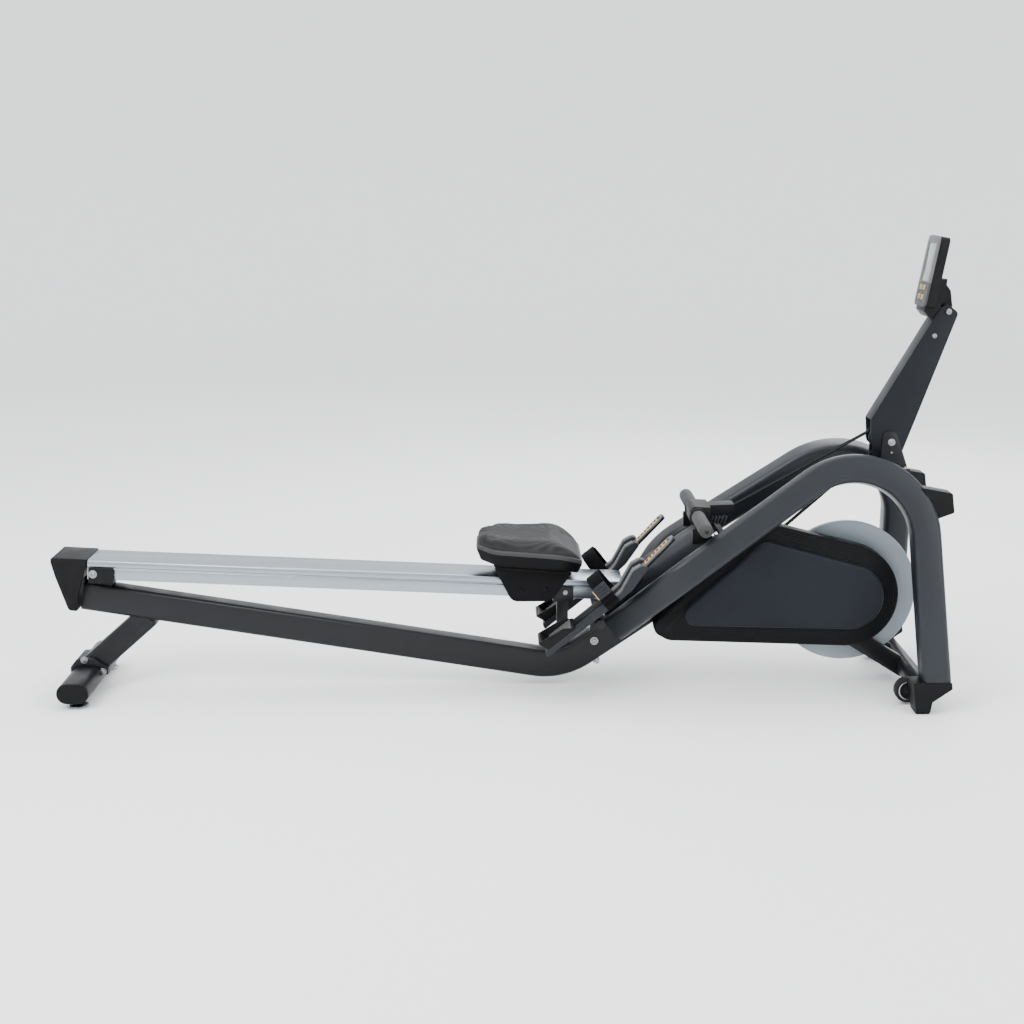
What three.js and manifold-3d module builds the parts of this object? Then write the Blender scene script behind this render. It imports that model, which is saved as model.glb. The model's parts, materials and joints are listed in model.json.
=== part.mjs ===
// Rowing machine with a magnetic flywheel, a strap-driven handle and a sliding seat.
// Millimetres. +X points from the rear foot to the flywheel, +Y to the far side, +Z up.
// The origin lies on the floor under the middle of the machine.
import * as THREE from "three";
import { mergeVertices } from "three/addons/utils/BufferGeometryUtils.js";
import Module from "manifold-3d";

const wasm = await Module();
wasm.setup();

// ---- driving dimensions ----
const GAP = 0.4; // clearance left between pieces that touch
const REAR_END = -1093;

const RAIL = { width: 118, height: 48, wall: 3.5, slope: -2.845, rear: -1004, front: 300, topAtZero: 290.6 };
const BEAM = { width: 56, height: 70, wall: 3, corner: 9, rearX: -1030, rearZ: 241.5, bend: 165, lift: 34, topX: 572 };
const LOOP = {
  height: 68, width: 60, corner: 14, apexHalf: 105, apexZ: 565, splay: 0.27,
  bendX: 843, bendZ: 394.5, bend: 166, pitch: 34.5, leg: 2.6, footZ: 60,
};
const STABILIZER = { x: -1027, z: 40.5, width: 77, height: 49, half: 186 };
const STRUT = { width: 58, depth: 50 };
const FLYWHEEL = { x: 845, z: 242, radius: 175 };
const DRUM = { x: 655, z: 306, radius: 36.4 };
const BELT = { large: 46, small: 22, y0: 18, y1: 30 };
const PULLEY = { x: 920, z: 620, radius: 19 };
const FORK = { y0: 42, y1: 66, half: 26 };
const SHROUD = { x: 841, z: 241, radius: 127, face: -112, rim: -84, inner: -39, wall: 3 };
const HANDLE = { x: 481, z: 434, half: 226, radius: 17 };
const STRAP = { width: 22, thick: 2.4 };
const SEAT = { half: 126, rollerX: [30, 130], roller: 17 };
const FOOTREST = { y: 122, width: 92, tilt: 38.6, heelX: 112, heelZ: 116, length: 326 };
const CONSOLE = { x: 1006.6, z: 934.7, pivotX: 1071, pivotZ: 922, lean: 10.4 };
const MAST = { half: 30, wall: 4 };
const CROSS = { x: 999, z: 52, radius: 24 };
const WHEEL = { x: 972, z: 36, radius: 31, y: 186, width: 24 };

// ---- finishes ----
const FINISH = {
  framePaint: [0x4a4f57, 0.38, 0.35],
  blackPaint: [0x1b1c20, 0.42, 0.3],
  aluminium: [0xc3c7ca, 0.32, 0.9],
  flywheelAlloy: [0xb9bec2, 0.4, 0.85],
  blackPlastic: [0x1d1e22, 0.55, 0],
  greyPlastic: [0x3d4146, 0.5, 0],
  silverPlastic: [0x8b8f92, 0.45, 0.2],
  seatRubber: [0x6f7477, 0.7, 0],
  gripRubber: [0x63676a, 0.75, 0],
  footRubber: [0x7d8083, 0.8, 0],
  blackRubber: [0x17171a, 0.8, 0],
  steel: [0xb5b7ba, 0.3, 1],
  webbing: [0x16161a, 0.9, 0],
  scale: [0xc9b184, 0.6, 0],
  lcd: [0x9fa8a4, 0.15, 0],
};

const rower = new THREE.Group();

function part(name, geometry, finish) {
  const [color, roughness, metalness] = FINISH[finish];
  const piece = new THREE.Mesh(geometry, new THREE.MeshStandardMaterial({ color, roughness, metalness }));
  piece.name = name;
  rower.add(piece);
  return piece;
}

// ---- shape helpers ----
const rad = THREE.MathUtils.degToRad;
const SIDES = [["near", -1], ["far", 1]];

function toSolid(geometry) {
  const bare = geometry.clone();
  bare.deleteAttribute("normal");
  bare.deleteAttribute("uv");
  const merged = mergeVertices(bare, 1e-4);
  return new wasm.Manifold(new wasm.Mesh({
    numProp: 3,
    vertProperties: new Float32Array(merged.attributes.position.array),
    triVerts: new Uint32Array(merged.index.array),
  }));
}

function toGeometry(solid) {
  const mesh = solid.getMesh();
  const geometry = new THREE.BufferGeometry();
  geometry.setAttribute("position", new THREE.BufferAttribute(mesh.vertProperties, 3));
  geometry.setIndex(new THREE.BufferAttribute(mesh.triVerts, 1));
  return geometry;
}

const join = (...all) => toGeometry(all.map(toSolid).reduce((a, b) => a.add(b)));
const cut = (base, ...tools) => toGeometry(tools.map(toSolid).reduce((a, b) => a.subtract(b), toSolid(base)));

function roundedRect(width, height, radius) {
  const w = width / 2 - radius;
  const h = height / 2 - radius;
  const shape = new THREE.Shape();
  shape.absarc(w, h, radius, 0, Math.PI / 2);
  shape.absarc(-w, h, radius, Math.PI / 2, Math.PI);
  shape.absarc(-w, -h, radius, Math.PI, 1.5 * Math.PI);
  shape.absarc(w, -h, radius, 1.5 * Math.PI, 2 * Math.PI);
  shape.closePath();
  return shape;
}

// A side profile: corners [x, z, radius] in order, each rounded by its radius.
function profile(corners) {
  const shape = new THREE.Shape();
  const n = corners.length;
  corners.forEach(([x, z, r = 0], i) => {
    const here = new THREE.Vector2(x, z);
    const before = new THREE.Vector2(...corners[(i + n - 1) % n].slice(0, 2)).sub(here).normalize();
    const after = new THREE.Vector2(...corners[(i + 1) % n].slice(0, 2)).sub(here).normalize();
    const half = Math.acos(THREE.MathUtils.clamp(before.dot(after), -1, 1)) / 2;
    const reach = r ? r / Math.tan(half) : 0;
    const start = here.clone().addScaledVector(before, reach);
    if (i) shape.lineTo(start.x, start.y);
    else shape.moveTo(start.x, start.y);
    if (r) {
      const end = here.clone().addScaledVector(after, reach);
      shape.quadraticCurveTo(x, z, end.x, end.y);
    }
  });
  shape.closePath();
  return shape;
}

// A side profile made solid between two Y planes.
function plate(shape, y0, y1, segments = 3) {
  const geometry = new THREE.ExtrudeGeometry(shape, { depth: y1 - y0, bevelEnabled: false, curveSegments: segments });
  return geometry.rotateX(Math.PI / 2).translate(0, y1, 0);
}

// A cross-section in Y and Z made solid between two X planes.
function alongX(shape, x0, x1, segments = 2) {
  const geometry = new THREE.ExtrudeGeometry(shape, { depth: x1 - x0, bevelEnabled: false, curveSegments: segments });
  return geometry.rotateX(Math.PI / 2).rotateZ(Math.PI / 2).translate(x0, 0, 0);
}

function block(x0, x1, y0, y1, z0, z1) {
  return new THREE.BoxGeometry(x1 - x0, y1 - y0, z1 - z0).translate((x0 + x1) / 2, (y0 + y1) / 2, (z0 + z1) / 2);
}

function rod(x, z, radius, y0, y1, sides = 28) {
  return new THREE.CylinderGeometry(radius, radius, y1 - y0, sides).translate(x, (y0 + y1) / 2, z);
}

// A ring turned about a Y axis through (x, z); corners are [radius, y] and close on themselves.
function turned(x, z, corners, sides = 40) {
  const points = [...corners, corners[0]].map(([r, y]) => new THREE.Vector2(r, y));
  return new THREE.LatheGeometry(points, sides).translate(x, 0, z);
}

// A centre line through corners [x, y, z, bend radius].
function bentLine(corners) {
  const path = new THREE.CurvePath();
  let from = new THREE.Vector3(...corners[0].slice(0, 3));
  for (let i = 1; i < corners.length - 1; i += 1) {
    const here = new THREE.Vector3(...corners[i].slice(0, 3));
    const back = new THREE.Vector3(...corners[i - 1].slice(0, 3)).sub(here).normalize();
    const on = new THREE.Vector3(...corners[i + 1].slice(0, 3)).sub(here).normalize();
    const turn = Math.PI - back.angleTo(on);
    const reach = corners[i][3] * Math.tan(turn / 2);
    const pull = (4 / 3) * Math.tan(turn / 4) * corners[i][3];
    const start = here.clone().addScaledVector(back, reach);
    const end = here.clone().addScaledVector(on, reach);
    path.add(new THREE.LineCurve3(from, start));
    path.add(new THREE.CubicBezierCurve3(
      start, start.clone().addScaledVector(back, -pull), end.clone().addScaledVector(on, -pull), end,
    ));
    from = end;
  }
  path.add(new THREE.LineCurve3(from, new THREE.Vector3(...corners.at(-1).slice(0, 3))));
  return path;
}

function sweep(shape, path, steps, segments = 1) {
  return new THREE.ExtrudeGeometry(shape, { extrudePath: path, steps, curveSegments: segments });
}

// A box drawn about the origin, turned by an angle about Y and moved to (x, z).
function tilted(geometry, degrees, x, z, y = 0) {
  return geometry.rotateY(-rad(degrees)).translate(x, y, z);
}

const railTop = (x) => RAIL.topAtZero + Math.tan(rad(RAIL.slope)) * x;

// ---- seat rail: a hollow aluminium extrusion with a groove along each side ----
function railSection() {
  const w = RAIL.width / 2;
  const h = RAIL.height / 2;
  const groove = 2.5;
  const shape = profile([
    [-w, -h], [w, -h], [w, 3], [w - groove, 4.5], [w - groove, 6.5], [w, 8], [w, h, 7], [-w, h, 7],
    [-w, 8], [-w + groove, 6.5], [-w + groove, 4.5], [-w, 3],
  ]);
  const inner = roundedRect(RAIL.width - 4 * RAIL.wall, RAIL.height - 2 * RAIL.wall, 3);
  shape.holes.push(new THREE.Path(inner.getPoints(2)));
  return shape;
}

function makeRail() {
  const length = (RAIL.front - RAIL.rear) / Math.cos(rad(RAIL.slope));
  const rail = alongX(railSection(), -length / 2, length / 2).translate(0, 0, -RAIL.height / 2);
  const middle = (RAIL.front + RAIL.rear) / 2;
  part("rail", tilted(rail, RAIL.slope, middle, railTop(middle)), "aluminium");
}

// ---- main beam: one bent rectangular tube under the rail and up between the loops ----
const beamRise = Math.tan(rad(BEAM.lift));
const BEAM_CORNER = [148, 48.6]; // where the two straight stretches would meet
const beamUpperZ = (x) => BEAM_CORNER[1] + beamRise * (x - BEAM_CORNER[0]);
const beamLowerSlope = (BEAM_CORNER[1] - BEAM.rearZ) / (BEAM_CORNER[0] - BEAM.rearX);
const beamLowerZ = (x) => BEAM.rearZ + beamLowerSlope * (x - BEAM.rearX);

// The beam's centre line, with its ends moved out by `reach`.
function beamLine(reach) {
  return bentLine([
    [BEAM.rearX - reach, 0, beamLowerZ(BEAM.rearX - reach)],
    [BEAM_CORNER[0], 0, BEAM_CORNER[1], BEAM.bend],
    [BEAM.topX + reach, 0, beamUpperZ(BEAM.topX + reach)],
  ]);
}

function beamTube(grow) {
  const section = roundedRect(BEAM.width + grow, BEAM.height + grow, BEAM.corner);
  return sweep(section, beamLine(0), 52);
}

function makeMainBeam() {
  const bore = sweep(profile([[-25, -32], [25, -32], [25, 32], [-25, 32]]), beamLine(20), 52);
  part("main_beam", cut(beamTube(0), bore), "blackPaint");
}

// ---- rear end ----
function makeRearBoot() {
  const side = profile([
    [REAR_END, 349, 6], [REAR_END + 6, 347, 4], [RAIL.rear - GAP, railTop(RAIL.rear) + 1.5],
    [-1035, 246], [-1040, 206, 6], [-1062, 209, 10], [REAR_END, 335, 4],
  ]);
  const body = plate(side, -RAIL.width / 2 - 2, RAIL.width / 2 + 2);
  const tapers = [-1, 1].map((s) => alongX(
    profile([[s * 36, 190], [s * 61, 300], [s * 90, 300], [s * 90, 190]]), REAR_END - 10, -990,
  ));
  const beamSocket = block(-1034, -980, -BEAM.width / 2 - GAP, BEAM.width / 2 + GAP, 190, 290);
  part("rear_boot", cut(body, beamSocket, ...tapers), "blackPlastic");
}

// A saddle under the rail with a cheek each side and a post down to the beam.
function makeRailBracket(name, x0, x1, post, footZ) {
  const w = RAIL.width / 2;
  const middle = (x0 + x1) / 2;
  const under = railTop(middle) - RAIL.height - GAP;
  const saddle = block(x0 - middle, x1 - middle, -w - 5, w + 5, -9, 31);
  const clear = block(x0 - middle - 1, x1 - middle + 1, -w - GAP, w + GAP, 0, 60);
  const shell = tilted(cut(saddle, clear), RAIL.slope, middle, under);
  const leg = block(middle - post, middle + post, -22, 22, footZ, under - 4);
  part(name, cut(join(shell, leg), beamTube(2 * GAP)), "blackPaint");
}

function makeRearStrut() {
  const length = 190;
  const tube = alongX(roundedRect(STRUT.depth, STRUT.width, 8), -length / 2, length / 2);
  const strut = tilted(tube, 41, -944, 124);
  const saddle = plate(profile([
    [-1066, 44], [-974, 44], [-972, 60, 6], [-1006, 84, 6], [-1050, 84, 8], [-1066, 64, 4],
  ]), -42, 42);
  const tubeTool = stabilizerShape(STABILIZER.width + 2 * GAP, STABILIZER.height + 2 * GAP, 200);
  const under = block(-1120, -900, -80, 80, -60, STABILIZER.z);
  part("rear_strut", cut(join(strut, saddle), beamTube(2 * GAP), tubeTool, under), "blackPaint");
}

function stabilizerShape(width, height, half) {
  const tube = new THREE.ExtrudeGeometry(roundedRect(width, height, height / 2 - 0.5), {
    depth: 2 * half, bevelEnabled: false, curveSegments: 4,
  });
  return tube.translate(0, 0, -half).rotateX(Math.PI / 2).translate(STABILIZER.x, 0, STABILIZER.z);
}

function makeRearFoot() {
  const { x, z, width, height, half } = STABILIZER;
  const outer = stabilizerShape(width, height, half - 8);
  part("rear_stabilizer", cut(outer, stabilizerShape(width - 6, height - 6, half)), "greyPlastic");
  for (const [side, s] of SIDES) {
    const cap = stabilizerShape(width, height, 4).translate(0, s * (half - 4 + GAP), 0);
    const plug = stabilizerShape(width - 6 - 2 * GAP, height - 6 - 2 * GAP, 8).translate(0, s * (half - 14), 0);
    part(`stabilizer_cap_${side}`, join(cap, plug), "blackPlastic");
    const y = s * (half - 34);
    const base = z - height / 2 - GAP;
    const level = new THREE.LatheGeometry(
      [[0, 0], [26, 0], [27, 4], [20, 8], [9, 9], [9, base], [0, base]].map(([r, h]) => new THREE.Vector2(r, h)), 28,
    );
    part(`leveler_${side}`, level.rotateX(Math.PI / 2).translate(x + 4, y, 0), "steel");
  }
}

// ---- front loops: two bent tubes that lean on each other like an A-frame ----
const loopY = (z) => LOOP.apexHalf + LOOP.splay * (LOOP.apexZ - z);
const loopPoint = (x, z, side, bend) => [x, side * loopY(z), z, bend];

function loopLine(side) {
  const { bendX, bendZ, bend, pitch, leg, footZ } = LOOP;
  const up = rad(90 + pitch);
  const inclineAt = (x) => bendZ + bend * Math.sin(up) + Math.tan(rad(pitch)) * (x - bendX - bend * Math.cos(up));
  const legAt = (z) => bendX + bend * Math.cos(rad(leg)) + Math.tan(rad(leg)) * (bendZ - z);
  let cornerZ = inclineAt(legAt(bendZ));
  cornerZ = inclineAt(legAt(cornerZ));
  return bentLine([
    loopPoint(legAt(footZ), footZ, side),
    loopPoint(legAt(cornerZ), cornerZ, side, bend),
    loopPoint(424, inclineAt(424), side, 95),
    [292, side * 12, 152],
  ]);
}

// One loop's envelope, grown by the same amount all round.
function loopTube(side, grow) {
  return sweep(roundedRect(LOOP.height + grow, LOOP.width + grow, LOOP.corner + grow / 2), loopLine(side), 42);
}

function makeLoops() {
  for (const [side, s] of SIDES) {
    const inner = block(200, 420, -BEAM.width / 2 - GAP, BEAM.width / 2 + GAP, 50, 400);
    const floorCut = block(900, 1120, -400, 400, -50, 78);
    part(`loop_${side}`, cut(loopTube(s, 0), inner, floorCut), "framePaint");
  }
}

// ---- front feet, cross tube and transport wheels ----
const FOOT_Y = loopY(60);

function makeFrontFeet() {
  for (const [side, s] of SIDES) {
    const y0 = s * FOOT_Y - LOOP.width / 2 + 2;
    const y1 = s * FOOT_Y + LOOP.width / 2 - 2;
    const toe = plate(profile([
      [966, 78 - GAP], [1056, 78 - GAP, 3], [1058, 62, 5], [1012, 30, 4], [1008, 6], [974, 6], [968, 56],
    ]), y0, y1);
    const sole = plate(profile([[972, 6, 1], [1010, 6, 1], [1006, 0], [976, 0]]), y0 + 5, y1 - 5, 1);
    part(`front_foot_${side}`, join(toe, sole), "footRubber");
  }
}

function makeFrontBase() {
  const half = FOOT_Y - LOOP.width / 2 + 2 - GAP;
  const tube = rod(CROSS.x, CROSS.z, CROSS.radius, -half, half, 24);
  const axles = SIDES.map(([, s]) => {
    const y0 = s * WHEEL.y - 18;
    const arm = plate(profile([
      [WHEEL.x - 10, WHEEL.z - 8, 4], [WHEEL.x - 10, WHEEL.z + 12, 6], [CROSS.x, CROSS.z + 18],
      [CROSS.x, CROSS.z - 18], [WHEEL.x + 10, WHEEL.z - 10, 3],
    ]), s < 0 ? y0 + 31 : y0 - 1, s < 0 ? y0 + 37 : y0 + 5, 2);
    const pin = rod(WHEEL.x, WHEEL.z, 5, s < 0 ? y0 + 2 : y0, s < 0 ? y0 + 36 : y0 + 34, 16);
    return join(arm, pin);
  });
  const clear = SIDES.map(([, s]) => rod(WHEEL.x, WHEEL.z, WHEEL.radius + 2, s * WHEEL.y - 13.5, s * WHEEL.y + 13.5));
  const body = cut(tube, ...clear);
  part("front_cross_tube", join(body, ...axles), "blackPaint");
  for (const [side, s] of SIDES) {
    const y0 = s * WHEEL.y - WHEEL.width / 2;
    const y1 = s * WHEEL.y + WHEEL.width / 2;
    const tyre = turned(WHEEL.x, WHEEL.z, [
      [5.05, y0 + 3], [16, y0 + 3], [20, y0], [WHEEL.radius - 3, y0], [WHEEL.radius, y0 + 4],
      [WHEEL.radius, y1 - 4], [WHEEL.radius - 3, y1], [20, y1], [16, y1 - 3], [5.05, y1 - 3],
    ], 32);
    part(`transport_wheel_${side}`, tyre, "blackRubber");
  }
}

function makeBumpers() {
  const y = loopY(480);
  for (const [side, s] of SIDES) {
    const shape = profile([[996, 520], [1069, 506, 5], [1075, 459, 5], [1028, 442]]);
    const bumper = plate(shape, s * y - 24, s * y + 24);
    part(`bumper_${side}`, cut(bumper, loopTube(s, 1.2)), "blackPlastic");
  }
}

// ---- fork: two flat bars that carry the drum shaft and the flywheel axle ----
const forkLine = (x) => CROSS.z - 7 + 0.636 * (1000 - x);

function forkBar(grow) {
  const h = FORK.half + grow;
  const axle = [FLYWHEEL.x, FLYWHEEL.z];
  const bar = profile([
    [536 - grow, forkLine(536) - h], [CROSS.x - 14, forkLine(CROSS.x - 14) - h],
    [CROSS.x - 14, forkLine(CROSS.x - 14) + h], [536 - grow, forkLine(536) + h],
  ]);
  const ear = profile([
    [axle[0] - 23 - grow, axle[1]], [axle[0] - 34 - grow, forkLine(axle[0])],
    [axle[0] + 40 + grow, forkLine(axle[0] + 40)], [axle[0] + 23 + grow, axle[1]],
  ]);
  return [bar, ear];
}

function makeForks() {
  for (const [side, s] of SIDES) {
    const y0 = s < 0 ? -FORK.y1 : FORK.y0;
    const y1 = s < 0 ? -FORK.y0 : FORK.y1;
    const [bar, ear] = forkBar(0).map((shape) => plate(shape, y0, y1));
    const bosses = [rod(FLYWHEEL.x, FLYWHEEL.z, 24, y0, y1), rod(DRUM.x, DRUM.z, 22, y0, y1)];
    const inner = s * (BEAM.width / 2 + GAP);
    const spacer = block(540, 566, Math.min(inner, s * 44), Math.max(inner, s * 44), 312, 342);
    const bores = [rod(FLYWHEEL.x, FLYWHEEL.z, 8.2, -80, 80), rod(DRUM.x, DRUM.z, 8.2, -80, 80)];
    const cross = rod(CROSS.x, CROSS.z, CROSS.radius + GAP, -80, 80, 24);
    part(`fork_${side}`, cut(join(bar, ear, ...bosses, spacer), ...bores, cross), "blackPaint");
  }
}

// ---- flywheel, strap drum, belt drive and eddy-current brake ----
function makeDrive() {
  const { x, z, radius } = FLYWHEEL;
  part("flywheel", turned(x, z, [
    [8.1, -40], [24, -40], [24, -35], [150, -33], [151, -35], [radius - 1, -35], [radius, -34], [radius, -24],
    [radius - 1, -23], [151, -23], [150, -25], [24, -23], [24, -16], [13, -16], [13, 17], [BELT.small, 17],
    [BELT.small, 31], [8.1, 31],
  ], 56), "flywheelAlloy");
  part("flywheel_axle", rod(x, z, 8, -69, 69), "steel");
  const drum = new THREE.LatheGeometry([
    [0, -60], [8, -60], [8, -14], [42, -14], [42, -11.6], [DRUM.radius, -11.6], [DRUM.radius, 11.6], [42, 11.6],
    [42, 14], [8, 14], [8, 60], [0, 60],
  ].map(([r, y]) => new THREE.Vector2(r, y)), 36);
  part("strap_drum", drum.translate(DRUM.x, 0, DRUM.z), "steel");
  part("belt_pulley", turned(DRUM.x, DRUM.z, [[9.8, 17], [BELT.large, 17], [BELT.large, 31], [9.8, 31]]), "blackPlastic");
  part("drive_belt", plate(beltBand(), BELT.y0, BELT.y1), "blackRubber");
  const yoke = block(656, 706, -FORK.y0 + GAP, -8, 166, 240);
  part("magnet_brake", cut(yoke, rod(x, z, radius + 4, -38.5, -19.5, 56)), "blackPlastic");
}

// A closed band round the two belt pulleys.
function beltBand() {
  const line = Math.atan2(FLYWHEEL.z - DRUM.z, FLYWHEEL.x - DRUM.x);
  const lean = Math.acos((BELT.large - BELT.small) / Math.hypot(FLYWHEEL.x - DRUM.x, FLYWHEEL.z - DRUM.z));
  const trace = (grow) => {
    const shape = new THREE.Shape();
    shape.absarc(DRUM.x, DRUM.z, BELT.large + grow, line + lean, line - lean + 2 * Math.PI);
    shape.absarc(FLYWHEEL.x, FLYWHEEL.z, BELT.small + grow, line - lean, line + lean);
    shape.closePath();
    return shape;
  };
  const band = trace(2.8);
  band.holes.push(new THREE.Path(trace(0.4).getPoints(10)));
  return band;
}

// ---- shrouds: a stepped cover on the near side and a smaller one on the far side ----
function arcCorners(x, z, radius, from, to, steps) {
  return Array.from({ length: steps + 1 }, (_, i) => {
    const a = rad(from + ((to - from) * i) / steps);
    return [x + radius * Math.cos(a), z + radius * Math.sin(a)];
  });
}

const SHROUD_RIM = [
  [364, 156, 14], [420, 131, 24], ...arcCorners(SHROUD.x, SHROUD.z, SHROUD.radius, -88, 75, 14), [640, 425, 34],
];
const SHROUD_FACE = [[430, 186, 22], ...arcCorners(846, 243, 80, -84, 72, 12), [637, 384.5, 28]];
const SHROUD_BACK = [
  [596, 160, 10], ...arcCorners(SHROUD.x, SHROUD.z, 99, -88, 75, 12), [648, 396, 20], [596, 366, 10],
];

// The same corners moved inwards by a distance; the corners run counter-clockwise.
function inset(corners, distance) {
  const n = corners.length;
  const normal = (a, b) => new THREE.Vector2(a[1] - b[1], b[0] - a[0]).normalize();
  return corners.map((corner, i) => {
    const before = normal(corners[(i + n - 1) % n], corner);
    const after = normal(corner, corners[(i + 1) % n]);
    const move = before.clone().add(after).multiplyScalar(distance / (1 + before.dot(after)));
    return [corner[0] + move.x, corner[1] + move.y, corner[2] ?? 0];
  });
}

function makeShrouds() {
  const { face, rim, inner, wall } = SHROUD;
  const outer = join(plate(profile(SHROUD_RIM), rim, inner), plate(profile(SHROUD_FACE), face, rim + 1));
  const hollow = [
    plate(profile(inset(SHROUD_RIM, wall)), rim + wall, inner + 5),
    plate(profile(inset(SHROUD_FACE, wall)), face + wall, rim + 5),
  ];
  const nearFork = forkBar(3).map((shape) => plate(shape, -FORK.y1 - 3, inner + 5));
  part("shroud_near", cut(outer, ...hollow, ...nearFork), "blackPlastic");
  const back = plate(profile(SHROUD_BACK), -16, 74);
  const backHollow = plate(profile(inset(SHROUD_BACK, wall)), -20, 74 - wall);
  const farFork = forkBar(3).map((shape) => plate(shape, FORK.y0 - 3, FORK.y1 + 3));
  const strapSlot = block(640, 730, -20, 16, 340, 460);
  part("shroud_far", cut(back, backHollow, ...farFork, strapSlot), "blackPlastic");
}

// ---- spine cover over the beam between the loops, and the handle rest in front of it ----
function makeSpine() {
  const length = 184;
  const section = profile([[-55, 0], [55, 0], [55, 70, 36], [-55, 70, 36]]);
  const bore = profile([[-52, -5], [52, -5], [52, 67, 33], [-52, 67, 33]]);
  const shell = cut(alongX(section, -length / 2, length / 2, 5), alongX(bore, 3 - length / 2, length / 2 - 3, 5));
  const over = BEAM.height / 2 + GAP;
  const x = 471.3;
  const z = beamUpperZ(x) + over * Math.cos(rad(BEAM.lift));
  part("spine_cover", tilted(shell, BEAM.lift, x - over * Math.sin(rad(BEAM.lift)), z), "greyPlastic");
  const arm = profile([[462, 378, 3], [550, 378], [550, 392, 3], [506, 396, 4], [502, 424, 5], [462, 414, 3]]);
  const arms = [plate(arm, -108, -92), plate(arm, 92, 108)];
  const bar = block(536, 550, -119, 119, 380, 391);
  part("handle_rest", cut(join(...arms, bar), rod(HANDLE.x, HANDLE.z, HANDLE.radius + 1, -120, 120)), "blackPlastic");
}

// ---- strap, its top pulley and the brackets behind the mast ----
const STRAP_START = [574.6, 452];
const pulleyWrap = PULLEY.radius + STRAP.thick / 2 + 0.3;
const drumWrap = DRUM.radius + STRAP.thick / 2 + 0.3;
const strapUp = Math.atan2(PULLEY.z - STRAP_START[1], PULLEY.x - STRAP_START[0])
  + Math.asin(pulleyWrap / Math.hypot(PULLEY.z - STRAP_START[1], PULLEY.x - STRAP_START[0]));
const strapDown = Math.atan2(PULLEY.z - DRUM.z, PULLEY.x - DRUM.x)
  - Math.asin((pulleyWrap + drumWrap) / Math.hypot(PULLEY.z - DRUM.z, PULLEY.x - DRUM.x));

function makeStrap() {
  const half = STRAP.width / 2;
  const t = STRAP.thick / 2;
  const run = Math.sqrt((PULLEY.z - STRAP_START[1]) ** 2 + (PULLEY.x - STRAP_START[0]) ** 2 - pulleyWrap ** 2);
  const flat = block(0, run - GAP, -half, half, -t, t);
  part("strap_upper", tilted(flat, THREE.MathUtils.radToDeg(strapUp), ...STRAP_START), "webbing");
  const ribbon = new THREE.Shape();
  ribbon.absarc(DRUM.x, DRUM.z, drumWrap + t, strapDown + 1.5 * Math.PI, strapDown + Math.PI / 2, true);
  ribbon.absarc(PULLEY.x, PULLEY.z, pulleyWrap - t, strapDown - Math.PI / 2, strapUp + Math.PI / 2);
  ribbon.absarc(PULLEY.x, PULLEY.z, pulleyWrap + t, strapUp + Math.PI / 2, strapDown - Math.PI / 2, true);
  ribbon.absarc(DRUM.x, DRUM.z, drumWrap - t, strapDown + Math.PI / 2, strapDown + 1.5 * Math.PI);
  ribbon.closePath();
  part("strap_lower", plate(ribbon, -half, half, 12), "webbing");
  const { x, z, radius } = PULLEY;
  part("strap_pulley", turned(x, z, [
    [5.05, -13], [23, -13], [23, -11.8], [radius, -11.4], [radius, 11.4], [23, 11.8], [23, 13], [5.05, 13],
  ], 32), "blackPlastic");
}

function makeBrackets() {
  const ear = profile([[922, 548], [988, 548], [958, 636, 15], [926, 636, 15]]);
  const ears = [plate(ear, -36, -30.5), plate(ear, 30.5, 36)];
  const bridge = block(905, 985, -77, 77, 540, 552);
  part("mast_bracket", join(bridge, ...ears), "blackPaint");
  const { x, z } = PULLEY;
  const cheeks = [[-19, -14.5], [14.5, 19]].flatMap(([y0, y1]) => [
    rod(x, z, 24.5, y0, y1), block(x - 15, x + 15, y0, y1, 553, z),
  ]);
  const foot = block(x - 15, x + 15, -19, 19, 552 + GAP, 557);
  part("pulley_bracket", join(foot, ...cheeks, rod(x, z, 5, -19, 19, 20)), "blackPaint");
}

function makeMast() {
  const { half, wall } = MAST;
  const inner = half - wall;
  const outer = profile([
    [934, 572, 14], [972, 578, 8], [1095.2, 920, 12], [1066, 941, 8], [1050, 930, 4], [896, 664, 3], [900, 606, 10],
  ]);
  const hollow = profile([[920, 500], [949, 500], [1087, 915], [1110, 990], [1066, 990], [1054, 926], [900, 662], [904, 560]]);
  const mouth = block(880, 930, -inner, inner, 540, 664);
  const bolt = rod(CONSOLE.pivotX, CONSOLE.pivotZ, 5, -half + 1, half - 1, 20);
  part("mast", join(cut(plate(outer, -half, half), plate(hollow, -inner, inner), mouth), bolt), "framePaint");
}

// ---- console, drawn upright with its face at x = 0 and then leant back ----
const leant = (geometry) => tilted(geometry, -CONSOLE.lean, CONSOLE.x, CONSOLE.z);
const onFace = (width, height, y, z, x0, x1, radius = 3) => (
  alongX(roundedRect(width, height, radius), x0, x1).translate(0, y, z)
);
const BUTTONS = [["upper_near", -14, 45], ["upper_far", 14, 45], ["lower_near", -14, 22], ["lower_far", 14, 22]];

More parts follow.
